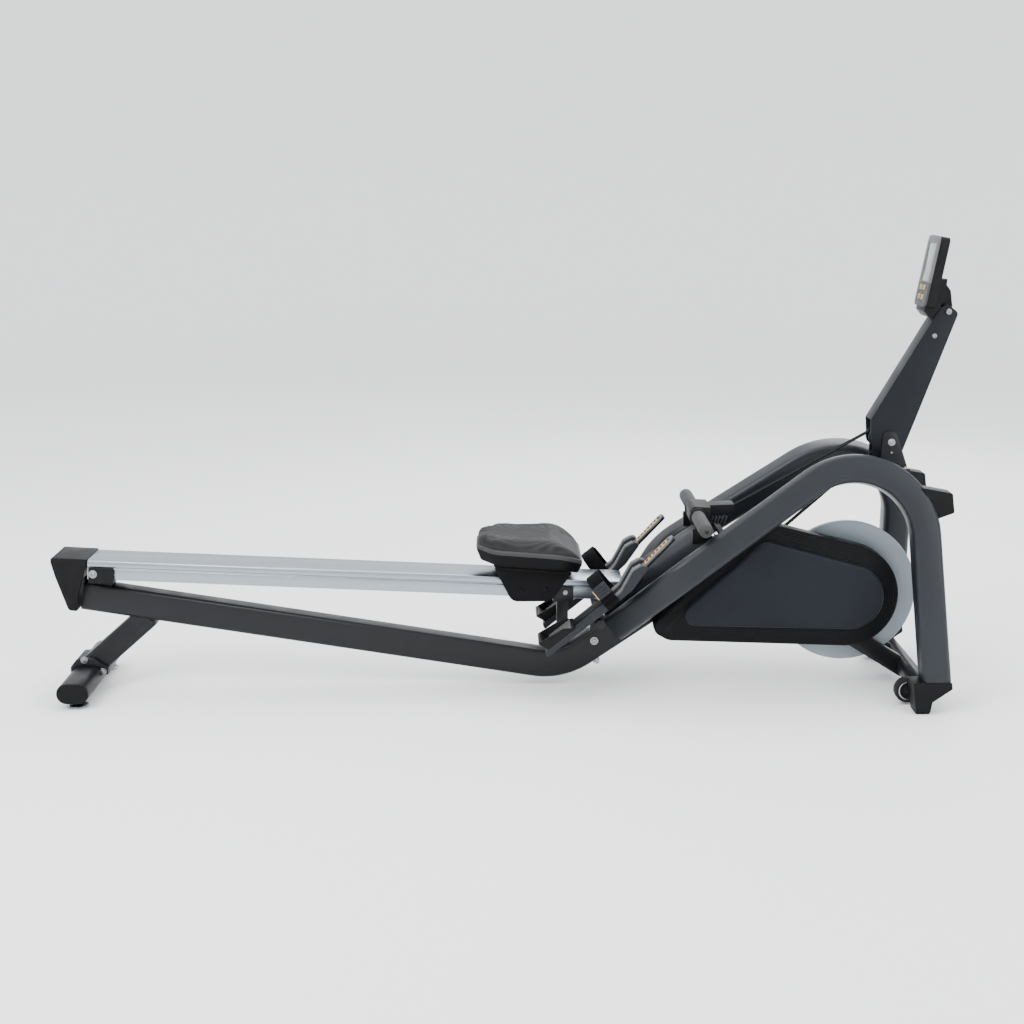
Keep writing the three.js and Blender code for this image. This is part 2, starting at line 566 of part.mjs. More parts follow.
function makeConsole() {
  const holes = BUTTONS.map(([, y, z]) => onFace(19, 14, y, z, -1, 6, 4));
  const bezel = cut(onFace(96, 168, 0, 84, 0, 5, 12), onFace(62, 92, 0, 105, -1, 6), ...holes);
  part("console_bezel", leant(bezel), "silverPlastic");
  part("display", leant(onFace(61.2, 91.2, 0, 105, 1.2, 5)), "lcd");
  for (const [label, y, z] of BUTTONS) {
    part(`button_${label}`, leant(onFace(18, 13, y, z, -1.8, 3.8, 3.5)), "silverPlastic");
  }
  const { pivotX, pivotZ } = CONSOLE;
  const back = leant(onFace(98, 170, 0, 84, 5.4, 27, 14));
  const chin = plate(profile([[1010, 925], [1024, 907, 6], [1040, 920, 4], [1058, 954, 4], [1062, 1000], [1020, 1000]]), -40, 40);
  const neck = plate(profile([[1030, 990], [1058, 936], [1083, pivotZ], [1076, 971, 5], [1056, 998, 5]]), -22, 22);
  const boss = rod(pivotX, pivotZ, 12, -22, 22);
  const front = leant(block(-30, 5.4, -80, 80, -60, 240));
  const bore = rod(pivotX, pivotZ, 5.4, -60, 60, 20);
  part("console_housing", cut(join(back, chin, neck, boss), front, bore), "blackPlastic");
}

// ---- handle: steel bar, two grips and the moulded centre that takes the strap ----
function makeHandle() {
  const { x, z, half, radius } = HANDLE;
  part("handle_bar", rod(x, z, 10, 8 - half, half - 8, 24), "steel");
  for (const [side, s] of SIDES) {
    const grip = new THREE.LatheGeometry([
      [0, half - 7.6], [10.4, half - 7.6], [10.4, 52], [radius - 1, 52], [radius, 56], [radius, 130], [radius - 1, half - 12],
      [radius - 6, half - 3], [0, half],
    ].map(([r, y]) => new THREE.Vector2(r, y)), 24);
    part(`grip_${side}`, (s < 0 ? grip.rotateX(Math.PI) : grip).translate(x, 0, z), "gripRubber");
  }
  const body = plate(profile([
    [574, 446, 3], [574, 458, 3], [510, 456, 8], [470, 458, 8], [462, 446, 8], [466, 412, 8], [500, 414, 12], [540, 432, 10],
  ]), -50, 50);
  const waist = [[-60, -24], [24, 60]].map(([y0, y1]) => block(512, 600, y0, y1, 380, 480));
  part("handle_sleeve", cut(body, ...waist, rod(x, z, 10.4, -60, 60, 24)), "blackRubber");
}

// ---- seat: pad on a carriage that rolls along the rail ----
function makeSeat() {
  const level = (x, rise) => railTop(x) + rise;
  part("seat_pad", plate(profile([
    [-19, level(-19, 47)], [202, level(202, 47), 4], [209, 352, 10], [176, 390, 24], [60, 386, 60], [-52, 394, 18],
    [-60, 366, 10], [-48, 350, 4],
  ]), -SEAT.half, SEAT.half), "seatRubber");
  const topPlate = plate(profile([
    [-15, level(-15, 37)], [171, level(171, 37)], [171, level(171, 46.4)], [-15, level(-15, 46.4)],
  ]), -72, 72);
  const skirt = profile([
    [38, level(38, -54), 6], [112, level(112, -54), 6], [171, level(171, 16), 4], [171, level(171, 46.4)],
    [-15, level(-15, 46.4)], [-15, level(-15, 30), 4],
  ]);
  const lip = profile([
    [44, level(44, -54)], [106, level(106, -54)], [106, level(106, -50)], [44, level(44, -50)],
  ]);
  const skirts = [plate(skirt, -72, -66), plate(skirt, 66, 72), plate(lip, -70, -50), plate(lip, 50, 70)];
  const lugs = SEAT.rollerX.flatMap((x) => [-1, 1].map((s) => (
    block(x - 10, x + 10, s < 0 ? -56 : 50, s < 0 ? -50 : 56, level(x, 7), level(x, 40))
  )));
  const bores = SEAT.rollerX.map((x) => rod(x, level(x, SEAT.roller + 0.4), 4.1, -57, 57, 20));
  part("seat_carriage", cut(join(topPlate, ...skirts, ...lugs), ...bores), "blackPlastic");
  SEAT.rollerX.forEach((x, i) => {
    const profileHalf = [[0, 30], [SEAT.roller - 1, 30], [SEAT.roller, 31], [SEAT.roller, 45], [SEAT.roller - 1, 46], [0, 46]];
    const wheels = [0, Math.PI].map((turn) => (
      new THREE.LatheGeometry(profileHalf.map(([r, y]) => new THREE.Vector2(r, y)), 24).rotateX(turn)
    ));
    const axle = new THREE.CylinderGeometry(4, 4, 116, 20);
    const roller = join(axle, ...wheels).translate(x, 0, level(x, SEAT.roller + 0.4));
    part(`seat_roller_${i ? "front" : "rear"}`, roller, "steel");
  });
}

// ---- footrests, drawn flat with the heel end at x = 0 and then tilted up ----
const CROSSBAR = { x: 240, z: 192, radius: 12 };
const onFootrest = (geometry, s) => tilted(geometry, FOOTREST.tilt, FOOTREST.heelX, FOOTREST.heelZ, s * FOOTREST.y);

function makeCrossbar() {
  const { x, z, radius } = CROSSBAR;
  const saddle = plate(profile([
    [x - 30, beamUpperZ(x - 30)], [x + 30, beamUpperZ(x + 30)], [x + 11, z, 6], [x - 11, z, 6],
  ]), -24, 24);
  const turn = rad(FOOTREST.tilt);
  const webs = SIDES.map(([, s]) => {
    const dx = x - FOOTREST.heelX;
    const dz = z - FOOTREST.heelZ;
    const along = dx * Math.cos(turn) + dz * Math.sin(turn);
    const below = dz * Math.cos(turn) - dx * Math.sin(turn);
    const shape = profile([[along - 9, below], [along + 9, below], [along + 30, -GAP], [along - 30, -GAP]]);
    return onFootrest(plate(shape, -10, 10), s);
  });
  part("foot_crossbar", join(rod(x, z, radius, -150, 150, 24), cut(saddle, beamTube(2 * GAP)), ...webs), "blackPaint");
}

function makeFootrests() {
  const { width, length } = FOOTREST;
  const half = width / 2;
  const deck = 14;
  for (const [side, s] of SIDES) {
    const plateSide = profile([
      [0, 0, 4], [210, 0], [length - 60, 4, 20], [length, 22, 6], [length - 8, 34, 4], [length - 34, 38, 14], [length - 90, deck, 40],
      [4, deck, 6],
    ]);
    const groove = block(-10, length + 10, -17.5, 17.5, deck - 6, 60);
    part(`footplate_${side}`, onFootrest(cut(plate(plateSide, -half, half), groove), s), "greyPlastic");
    const base = deck - 6 + GAP;
    const tongue = plate(profile([
      [34, base], [length - 56, base], [length + 88, base + 20, 1], [length + 86, base + 25, 1], [length - 60, base + 5], [34, base + 5],
    ]), -17, 17);
    const rise = deck + GAP;
    const floor = block(14, 96, -half + 2, half - 2, rise, rise + 4);
    const backWall = plate(profile([[14, rise], [20, rise], [12, rise + 40, 2], [4, rise + 42, 2]]), 2 - half, half - 2);
    const wings = [[-half + 2, -half + 6], [half - 6, half - 2]].map(([y0, y1]) => plate(profile([
      [14, rise], [96, rise], [74, rise + 26, 8], [4, rise + 42, 3],
    ]), y0, y1));
    const keel = block(34, 96, -17, 17, base, rise + 3);
    part(`heel_slider_${side}`, onFootrest(join(tongue, floor, backWall, ...wings, keel), s), "blackPlastic");
    const arch = new THREE.Shape();
    arch.moveTo(half + GAP, 1);
    arch.lineTo(half + GAP + 3, 1);
    arch.bezierCurveTo(half + 8, 70, 34, 82, 0, 82);
    arch.bezierCurveTo(-34, 82, -half - 8, 70, -half - GAP - 3, 1);
    arch.lineTo(-half - GAP, 1);
    arch.bezierCurveTo(-half - 4, 67, -33, 79, 0, 79);
    arch.bezierCurveTo(33, 79, half + 4, 67, half + GAP, 1);
    part(`foot_strap_${side}`, onFootrest(alongX(arch, 187, 223, 8), s), "webbing");
  }
}

makeRail();
makeMainBeam();
makeRearBoot();
makeRailBracket("rail_rear_bracket", -1003, -942, 16, 240);
makeRailBracket("rail_front_bracket", 129, 178, 14, 64);
makeRearStrut();
makeRearFoot();
makeLoops();
makeFrontFeet();
makeFrontBase();
makeBumpers();
makeForks();
makeDrive();
makeShrouds();
makeSpine();
makeStrap();
makeBrackets();
makeMast();
makeConsole();
makeHandle();
makeSeat();
makeCrossbar();
makeFootrests();

export default rower;
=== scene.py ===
"""Rowing machine: the visible pieces, finishes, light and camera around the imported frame."""
import json
import math

import bmesh
import bpy
from mathutils import Matrix, Vector


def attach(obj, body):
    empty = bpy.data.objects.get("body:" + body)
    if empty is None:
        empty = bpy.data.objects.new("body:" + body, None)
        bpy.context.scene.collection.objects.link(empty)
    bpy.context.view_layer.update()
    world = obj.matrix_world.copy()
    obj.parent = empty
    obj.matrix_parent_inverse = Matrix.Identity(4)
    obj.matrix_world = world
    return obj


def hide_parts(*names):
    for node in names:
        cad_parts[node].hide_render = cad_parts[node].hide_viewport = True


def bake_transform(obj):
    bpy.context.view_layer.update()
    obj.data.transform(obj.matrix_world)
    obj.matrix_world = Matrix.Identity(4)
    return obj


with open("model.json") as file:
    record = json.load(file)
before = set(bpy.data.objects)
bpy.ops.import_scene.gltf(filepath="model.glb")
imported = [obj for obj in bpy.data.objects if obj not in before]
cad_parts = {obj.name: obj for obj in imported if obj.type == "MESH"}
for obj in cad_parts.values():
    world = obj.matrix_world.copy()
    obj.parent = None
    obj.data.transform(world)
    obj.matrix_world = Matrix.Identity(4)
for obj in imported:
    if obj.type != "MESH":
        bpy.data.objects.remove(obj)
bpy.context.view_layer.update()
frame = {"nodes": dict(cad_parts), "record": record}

bl_info = {
    "name": "Rowing machine",
    "version": (1, 0, 0),
    "blender": (4, 5, 0),
    "location": "View3D > Sidebar > Rower",
    "description": "Builds the visible pieces of a magnetic rowing machine",
    "category": "Add Mesh",
}

SIDES = (("near", -1), ("far", 1))


# ---- places: all drawing is in millimetres, all meshes in metres ----
def mm(x, y, z):
    """A place given in millimetres, in metres."""
    return Vector((x, y, z)) / 1000


def rounded(corners, segments=5):
    """Corners (a, b, radius) joined into one outline with round corners."""
    outline = []
    for i, corner in enumerate(corners):
        here = Vector(corner[:2])
        radius = corner[2] if len(corner) > 2 else 0
        if not radius:
            outline.append(tuple(here))
            continue
        back = (Vector(corners[i - 1][:2]) - here).normalized()
        on = (Vector(corners[(i + 1) % len(corners)][:2]) - here).normalized()
        half = back.angle(on) / 2
        reach = radius / math.tan(half)
        centre = here + (back + on).normalized() * radius / math.sin(half)
        first, last = here + back * reach - centre, here + on * reach - centre
        for k in range(segments + 1):
            outline.append(tuple(centre + first.slerp(last, k / segments).normalized() * radius))
    return outline


def box_outline(width, height, radius, segments=5):
    """A rectangle about the origin with round corners."""
    w, h = width / 2, height / 2
    return rounded([(w, h, radius), (-w, h, radius), (-w, -h, radius), (w, -h, radius)], segments)


def arc(x, z, radius, start, stop, steps):
    """Spots on an arc about (x, z), between two angles in degrees."""
    turns = [math.radians(start + (stop - start) * k / steps) for k in range(steps + 1)]
    return [(x + radius * math.cos(t), z + radius * math.sin(t)) for t in turns]


def shrunk(corners, distance):
    """The same anticlockwise corners moved inwards."""
    moved = []
    for i, corner in enumerate(corners):
        before = Vector(corner[:2]) - Vector(corners[i - 1][:2])
        after = Vector(corners[(i + 1) % len(corners)][:2]) - Vector(corner[:2])
        n1 = Vector((-before.y, before.x)).normalized()
        n2 = Vector((-after.y, after.x)).normalized()
        step = (n1 + n2) * distance / (1 + n1.dot(n2))
        radius = corner[2] if len(corner) > 2 else 0
        moved.append((corner[0] + step.x, corner[1] + step.y, max(radius - distance, 0)))
    return moved


# ---- modelling steps ----
def only(piece):
    """Deselects everything, then makes this piece the active one."""
    if bpy.context.object and bpy.context.object.mode != "OBJECT":
        bpy.ops.object.mode_set(mode="OBJECT")
    bpy.ops.object.select_all(action="DESELECT")
    piece.select_set(True)
    bpy.context.view_layer.objects.active = piece
    return piece


def edit(piece, everything=True):
    """Goes into edit mode with all or nothing of the piece selected."""
    only(piece)
    bpy.ops.object.mode_set(mode="EDIT")
    bpy.ops.mesh.select_all(action="SELECT" if everything else "DESELECT")


def done():
    """Leaves edit mode."""
    bpy.ops.object.mode_set(mode="OBJECT")


def pick(piece, kind, test):
    """Selects the faces, edges or verts that pass a test, in edit mode."""
    bpy.ops.mesh.select_all(action="DESELECT")
    bpy.ops.mesh.select_mode(type={"faces": "FACE", "edges": "EDGE", "verts": "VERT"}[kind])
    mesh = bmesh.from_edit_mesh(piece.data)
    for item in getattr(mesh, kind):
        item.select_set(test(item))
    mesh.select_flush_mode()
    bmesh.update_edit_mesh(piece.data)


def trace(name, places, closed=True):
    """A wire drawn point by point; a closed one gets a face."""
    if bpy.context.object and bpy.context.object.mode != "OBJECT":
        bpy.ops.object.mode_set(mode="OBJECT")
    bpy.ops.object.select_all(action="DESELECT")
    bpy.ops.mesh.primitive_plane_add(size=0.01, location=places[0])
    piece = bpy.context.object
    piece.name = piece.data.name = name
    bpy.ops.object.transform_apply(location=True, rotation=False, scale=False)
    bpy.ops.object.mode_set(mode="EDIT")
    bpy.ops.mesh.select_mode(type="VERT")
    bpy.ops.mesh.select_all(action="SELECT")
    bpy.ops.mesh.merge(type="CENTER")
    stops = list(places[1:]) + (list(places[:1]) if closed else [])
    at = Vector(places[0])
    for stop in stops:
        bpy.ops.mesh.extrude_region_move(TRANSFORM_OT_translate={"value": Vector(stop) - at})
        at = Vector(stop)
    bpy.ops.mesh.select_all(action="SELECT")
    if closed:
        bpy.ops.mesh.remove_doubles(threshold=1e-6)
        bpy.ops.mesh.edge_face_add()
    return piece


def outward(piece):
    """Merges doubles and turns every face outwards."""
    edit(piece)
    bpy.ops.mesh.remove_doubles(threshold=1e-6)
    bpy.ops.mesh.normals_make_consistent(inside=False)
    done()
    return piece


def modify(piece, kind, **settings):
    """Adds one modifier with its settings and applies it."""
    only(piece)
    bpy.ops.object.modifier_add(type=kind)
    modifier = piece.modifiers[-1]
    for key, value in settings.items():
        setattr(modifier, key, value)
    bpy.ops.object.modifier_apply(modifier=modifier.name)
    return piece


def soften(piece, width=1.0, segments=2, angle=32):
    """Rounds every sharp edge."""
    return modify(
        piece, "BEVEL", width=width / 1000, segments=segments, limit_method="ANGLE",
        angle_limit=math.radians(angle), use_clamp_overlap=True, miter_outer="MITER_ARC",
    )


def joined(name, *parts):
    """Separate shells of one piece, kept in one mesh."""
    only(parts[0])
    for other in parts[1:]:
        other.select_set(True)
    bpy.ops.object.join()
    parts[0].name = parts[0].data.name = name
    return parts[0]


def slab(name, outline, low, high, along="Y"):
    """An outline made solid between two levels of the Y or the Z axis."""
    spots = {"Y": lambda a, b, d: mm(a, d, b), "Z": lambda a, b, d: mm(a, b, d)}
    piece = trace(name, [spots[along](a, b, low) for a, b in outline])
    bpy.ops.mesh.extrude_region_move(TRANSFORM_OT_translate={"value": spots[along](0, 0, high - low)})
    return outward(piece)


def tube(name, section, corners, steps=12):
    """A bar of one section along straight lines joined by bends; corners are (x, y, z, bend radius)."""
    places = [mm(*c[:3]) for c in corners]
    ways = [(b - a).normalized() for a, b in zip(places, places[1:])]
    side = ways[0].cross(ways[1]).normalized()
    rise = ways[0].cross(side)
    piece = trace(name, [places[0] + (rise * a + side * b) / 1000 for a, b in section])
    at = places[0]
    for i, way in enumerate(ways):
        last = i == len(ways) - 1
        turn = 0 if last else way.angle(ways[i + 1])
        radius = 0 if last else corners[i + 1][3] / 1000
        stop = places[i + 1] - way * radius * math.tan(turn / 2)
        bpy.ops.mesh.extrude_region_move(TRANSFORM_OT_translate={"value": stop - at})
        if not last:
            axis = way.cross(ways[i + 1]).normalized()
            centre = stop + axis.cross(way) * radius
            bpy.ops.mesh.spin(steps=steps, dupli=False, angle=-turn, center=centre, axis=axis)
            at = places[i + 1] + ways[i + 1] * radius * math.tan(turn / 2)
    return outward(piece)


def lathe(name, profile, centre, axis=(0, 1, 0), steps=48):
    """A profile of (radius, distance along the axis) turned right round; it ends on the axis or closes."""
    axis = Vector(axis).normalized()
    arm = axis.orthogonal().normalized() if abs(axis.y) < 0.99 else Vector((1, 0, 0))
    middle = mm(*centre)
    places = [middle + (arm * r + axis * d) / 1000 for r, d in profile]
    closed = profile[0][0] > 0.001
    piece = trace(name, places + (places[:1] if closed else []), closed=False)
    bpy.ops.mesh.spin(steps=steps, dupli=False, angle=math.tau, center=middle, axis=axis)
    return outward(piece)


def copy_of(node, name=None, bevel=1.0, segments=2, angle=32):
    """A merged and softened copy of a CAD node, which it stands for."""
    piece = bpy.data.objects.new(name or f"{node}_skin", frame["nodes"][node].data.copy())
    bpy.context.scene.collection.objects.link(piece)
    piece.data.materials.clear()
    edit(piece)
    bpy.ops.mesh.remove_doubles(threshold=1e-5)
    bpy.ops.mesh.dissolve_limited(angle_limit=math.radians(1.5))
    bpy.ops.mesh.normals_make_consistent(inside=False)
    done()
    if bevel:
        soften(piece, bevel, segments, angle)
    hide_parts(node)
    return piece


def dress(piece, finish, angle=40, replaces=()):
    """Smooths a finished piece and gives it its finish."""
    only(piece)
    bpy.ops.object.shade_smooth_by_angle(angle=math.radians(angle))
    piece.data.materials.clear()
    piece.data.materials.append(FINISHES[finish])
    if replaces:
        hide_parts(*replaces)
    return piece


def mount(piece, body, finish, angle=40, replaces=()):
    """A finished piece that rides on its body."""
    dress(piece, finish, angle, replaces)
    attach(piece, body)
    return piece


WASHER_THICKNESS = 1.6


def bolt(name, at, axis, radius, body, washer=0.0, finish="zinc"):
    """A button-head bolt with a round driver socket, on a washer if it has one."""
    head = radius * 0.55
    base = WASHER_THICKNESS if washer else 0
    socket = [(0, -head * 0.2), (radius * 0.4, -head * 0.2), (radius * 0.46, head)]
    dome = [(radius * 0.72, head * 0.96), (radius * 0.92, head * 0.6), (radius, head * 0.15), (radius, 0)]
    profile = [(reach, level + base) for reach, level in socket + dome]
    if washer:
        profile += [(washer - 0.5, base), (washer, base - 0.5), (washer, 0)]
    return mount(lathe(name, profile + [(0, 0)], at, axis, 28), body, finish)


# ---- finishes ----
FINISHES = {}


def node(tree, kind, values=None, **settings):
    """A new shader node; a value that is a socket is linked, any other is set."""
    made = tree.nodes.new(kind)
    for key, value in settings.items():
        setattr(made, key, value)
    for key, value in (values or {}).items():
        if isinstance(value, bpy.types.NodeSocket):
            tree.links.new(value, made.inputs[key])
        else:
            made.inputs[key].default_value = value
    return made


def blank(name, roughness, metallic=0.0, **sockets):
    """A new material; returns it with its node tree and shader."""
    made = bpy.data.materials.new(name)
    made.use_nodes = True
    shader = made.node_tree.nodes["Principled BSDF"]
    shader.inputs["Roughness"].default_value = roughness
    shader.inputs["Metallic"].default_value = metallic
    for key, value in sockets.items():
        shader.inputs[key.replace("_", " ")].default_value = value
    return made, made.node_tree, shader


def object_space(tree, scale=(1, 1, 1), shift=(0, 0, 0)):
    """Object coordinates, stretched and moved."""
    space = node(tree, "ShaderNodeTexCoord").outputs["Object"]
    return node(tree, "ShaderNodeMapping", {"Vector": space, "Location": shift, "Scale": scale}).outputs[0]


def noise(tree, vector, scale, detail=3.0, roughness=0.55):
    values = {"Vector": vector, "Scale": scale, "Detail": detail, "Roughness": roughness}
    return node(tree, "ShaderNodeTexNoise", values).outputs["Fac"]


def maths(tree, operation, *values):
    """One sum on one or two values."""
    return node(tree, "ShaderNodeMath", dict(enumerate(values)), operation=operation).outputs[0]


def remap(tree, value, low, high, start=0.0, stop=1.0):
    """Carries the range from start to stop over to the one from low to high."""
    values = {"Value": value, "From Min": start, "From Max": stop, "To Min": low, "To Max": high}
    return node(tree, "ShaderNodeMapRange", values).outputs[0]


def blend_colour(tree, factor, first, second):
    made = node(tree, "ShaderNodeMix", data_type="RGBA")
    tree.links.new(factor, made.inputs[0])
    for socket, value in ((made.inputs[6], first), (made.inputs[7], second)):
        if isinstance(value, bpy.types.NodeSocket):
            tree.links.new(value, socket)
        else:
            socket.default_value = (*value, 1)
    return made.outputs[2]


def relief(tree, shader, height, strength, depth):
    """Fine grain in the surface's normal."""
    bump = node(tree, "ShaderNodeBump", {"Height": height, "Strength": strength, "Distance": depth})
    tree.links.new(bump.outputs[0], shader.inputs["Normal"])


def moulded(name, colour, roughness, grain=900, depth=0.00012, strength=0.35, wear=0.25, **sockets):
    """Moulded plastic, rubber or powder coat: fine grain, slow colour drift and paler edges."""
    sockets.setdefault("Specular_IOR_Level", 0.2)
    made, tree, shader = blank(name, roughness, **sockets)
    space = object_space(tree)
    drift = remap(tree, noise(tree, space, 6, 4), 0.0, 1.0, 0.3, 0.7)
    base = blend_colour(tree, drift, tuple(c * 0.86 for c in colour), tuple(c * 1.12 for c in colour))
    edges = remap(tree, node(tree, "ShaderNodeNewGeometry").outputs["Pointiness"], 0, wear, 0.52, 0.6)
    worn = blend_colour(tree, edges, base, tuple(min(c * 2.2 + 0.02, 1) for c in colour))
    tree.links.new(worn, shader.inputs["Base Color"])
    smudge = noise(tree, space, 14, 5)
    tree.links.new(remap(tree, smudge, roughness - 0.05, roughness + 0.08, 0.3, 0.7), shader.inputs["Roughness"])
    relief(tree, shader, noise(tree, space, grain, 2), strength, depth)
    FINISHES[name] = made


def drawn_metal(name, colour, roughness, stretch, grain):
    """Metal with fine lines along one axis."""
    made, tree, shader = blank(name, roughness, 1.0)
    lines = noise(tree, object_space(tree, stretch), grain, 3, 0.7)
    tone = remap(tree, lines, 0.0, 1.0, 0.3, 0.7)
    dull, bright = tuple(c * 0.9 for c in colour), tuple(min(c * 1.06, 1) for c in colour)
    tree.links.new(blend_colour(tree, tone, dull, bright), shader.inputs["Base Color"])
    tree.links.new(remap(tree, lines, roughness - 0.07, roughness + 0.1, 0.3, 0.7), shader.inputs["Roughness"])
    relief(tree, shader, lines, 0.12, 0.0001)
    FINISHES[name] = made


AXLE = (845, 0, 242)    # the middle of the flywheel


def make_disc_finish():
    """Turned alloy: fine circles about the axle."""
    made, tree, shader = blank("disc", 0.46, 0.6)
    space = object_space(tree, shift=-mm(*AXLE))
    parts = node(tree, "ShaderNodeSeparateXYZ", {"Vector": space}).outputs
    flat = node(tree, "ShaderNodeCombineXYZ", {"X": parts[0], "Z": parts[2]}).outputs[0]
    reach = node(tree, "ShaderNodeVectorMath", {0: flat}, operation="LENGTH").outputs["Value"]
    ring = node(tree, "ShaderNodeCombineXYZ", {"X": reach, "Y": parts[1]}).outputs[0]
    circles = noise(tree, ring, 1400, 3, 0.7)
    cloud = noise(tree, space, 7, 3)
    colour = blend_colour(tree, remap(tree, cloud, 0, 1, 0.3, 0.7), (0.19, 0.225, 0.255), (0.235, 0.275, 0.305))
    tree.links.new(colour, shader.inputs["Base Color"])
    tree.links.new(remap(tree, circles, 0.42, 0.56, 0.3, 0.7), shader.inputs["Roughness"])
    relief(tree, shader, circles, 0.15, 0.0001)
    FINISHES["disc"] = made


def make_webbing_finish():
    """Woven strap: two crossing sets of threads."""
    made, tree, shader = blank("webbing", 0.9, Specular_IOR_Level=0.08)
    space = object_space(tree)
    threads = {"Vector": space, "Scale": 620, "Distortion": 0.4}
    warp = node(tree, "ShaderNodeTexWave", threads, bands_direction="Y").outputs["Fac"]
    weft = node(tree, "ShaderNodeTexWave", threads, bands_direction="DIAGONAL").outputs["Fac"]
    weave = maths(tree, "MULTIPLY", warp, weft)
    colour = blend_colour(tree, weave, (0.0018, 0.0018, 0.0022), (0.0075, 0.0075, 0.0085))
    tree.links.new(colour, shader.inputs["Base Color"])
    relief(tree, shader, weave, 0.6, 0.0003)
    FINISHES["webbing"] = made


SEAT_PITCH = 0.052          # fall of the seat for each unit of length towards the front, like its rail
THIGH_DISH = (0.060, 0.062) # the middle of the ribs on each side, in metres: along the seat and out from its middle
RIB_RATE = 560.0            # radians of rib wave to a metre of distance from that middle
RIB_STRETCH = 0.55          # under one, the rings are longer along the seat than across it
SEAT_TOP = (0.366, 0.374)   # where the side of the skin turns into its ribbed top, in metres


def make_seat_finish():
    """Soft moulded skin with contour ribs that follow the dish; on the top, painted shade darkens the grooves between
    the ribs.
    """
    made, tree, shader = blank("seat_skin", 0.66, Specular_IOR_Level=0.2)
    space = object_space(tree, shift=(-THIGH_DISH[0], 0, 0))
    parts = node(tree, "ShaderNodeSeparateXYZ", {"Vector": space}).outputs
    lobe = maths(tree, "SUBTRACT", maths(tree, "ABSOLUTE", parts[1]), THIGH_DISH[1])
    level = maths(tree, "ADD", parts[2], maths(tree, "MULTIPLY", parts[0], SEAT_PITCH))
    on_top = remap(tree, level, 0.0, 1.0, *SEAT_TOP)
    long = maths(tree, "MULTIPLY", parts[0], RIB_STRETCH)
    spot = node(tree, "ShaderNodeCombineXYZ", {"X": long, "Y": lobe}).outputs[0]
    reach = node(tree, "ShaderNodeVectorMath", {0: spot}, operation="LENGTH").outputs["Value"]
    ribs = maths(tree, "SINE", maths(tree, "MULTIPLY", reach, RIB_RATE))
    # painted shade: the rib wave darkens the colour in the grooves, where the skin's top dips, on the top only
    tone = maths(tree, "MULTIPLY", remap(tree, ribs, 1.0, 0.0, -1.0, 1.0), on_top)
    drift = remap(tree, noise(tree, space, 9, 3), 0.0, 1.0, 0.3, 0.7)
    ground = blend_colour(tree, drift, (0.0115, 0.0125, 0.0135), (0.017, 0.0185, 0.0195))
    colour = blend_colour(tree, tone, ground, (0.0050, 0.0053, 0.0056))
    tree.links.new(colour, shader.inputs["Base Color"])
    relief(tree, shader, noise(tree, space, 1100, 2), 0.4, 0.00015)
    FINISHES["seat_skin"] = made


def make_display_finish():
    """Grey-green liquid crystal window under a clear front."""
    made, tree, shader = blank("lcd", 0.2, Coat_Weight=0.25, Coat_Roughness=0.05)
    space = object_space(tree)
    haze = remap(tree, noise(tree, space, 30, 2), 0.0, 1.0, 0.3, 0.7)
    colour = blend_colour(tree, haze, (0.17, 0.20, 0.195), (0.21, 0.245, 0.235))
    tree.links.new(colour, shader.inputs["Base Color"])
    relief(tree, shader, noise(tree, space, 1500, 1), 0.05, 0.00004)
    FINISHES["lcd"] = made


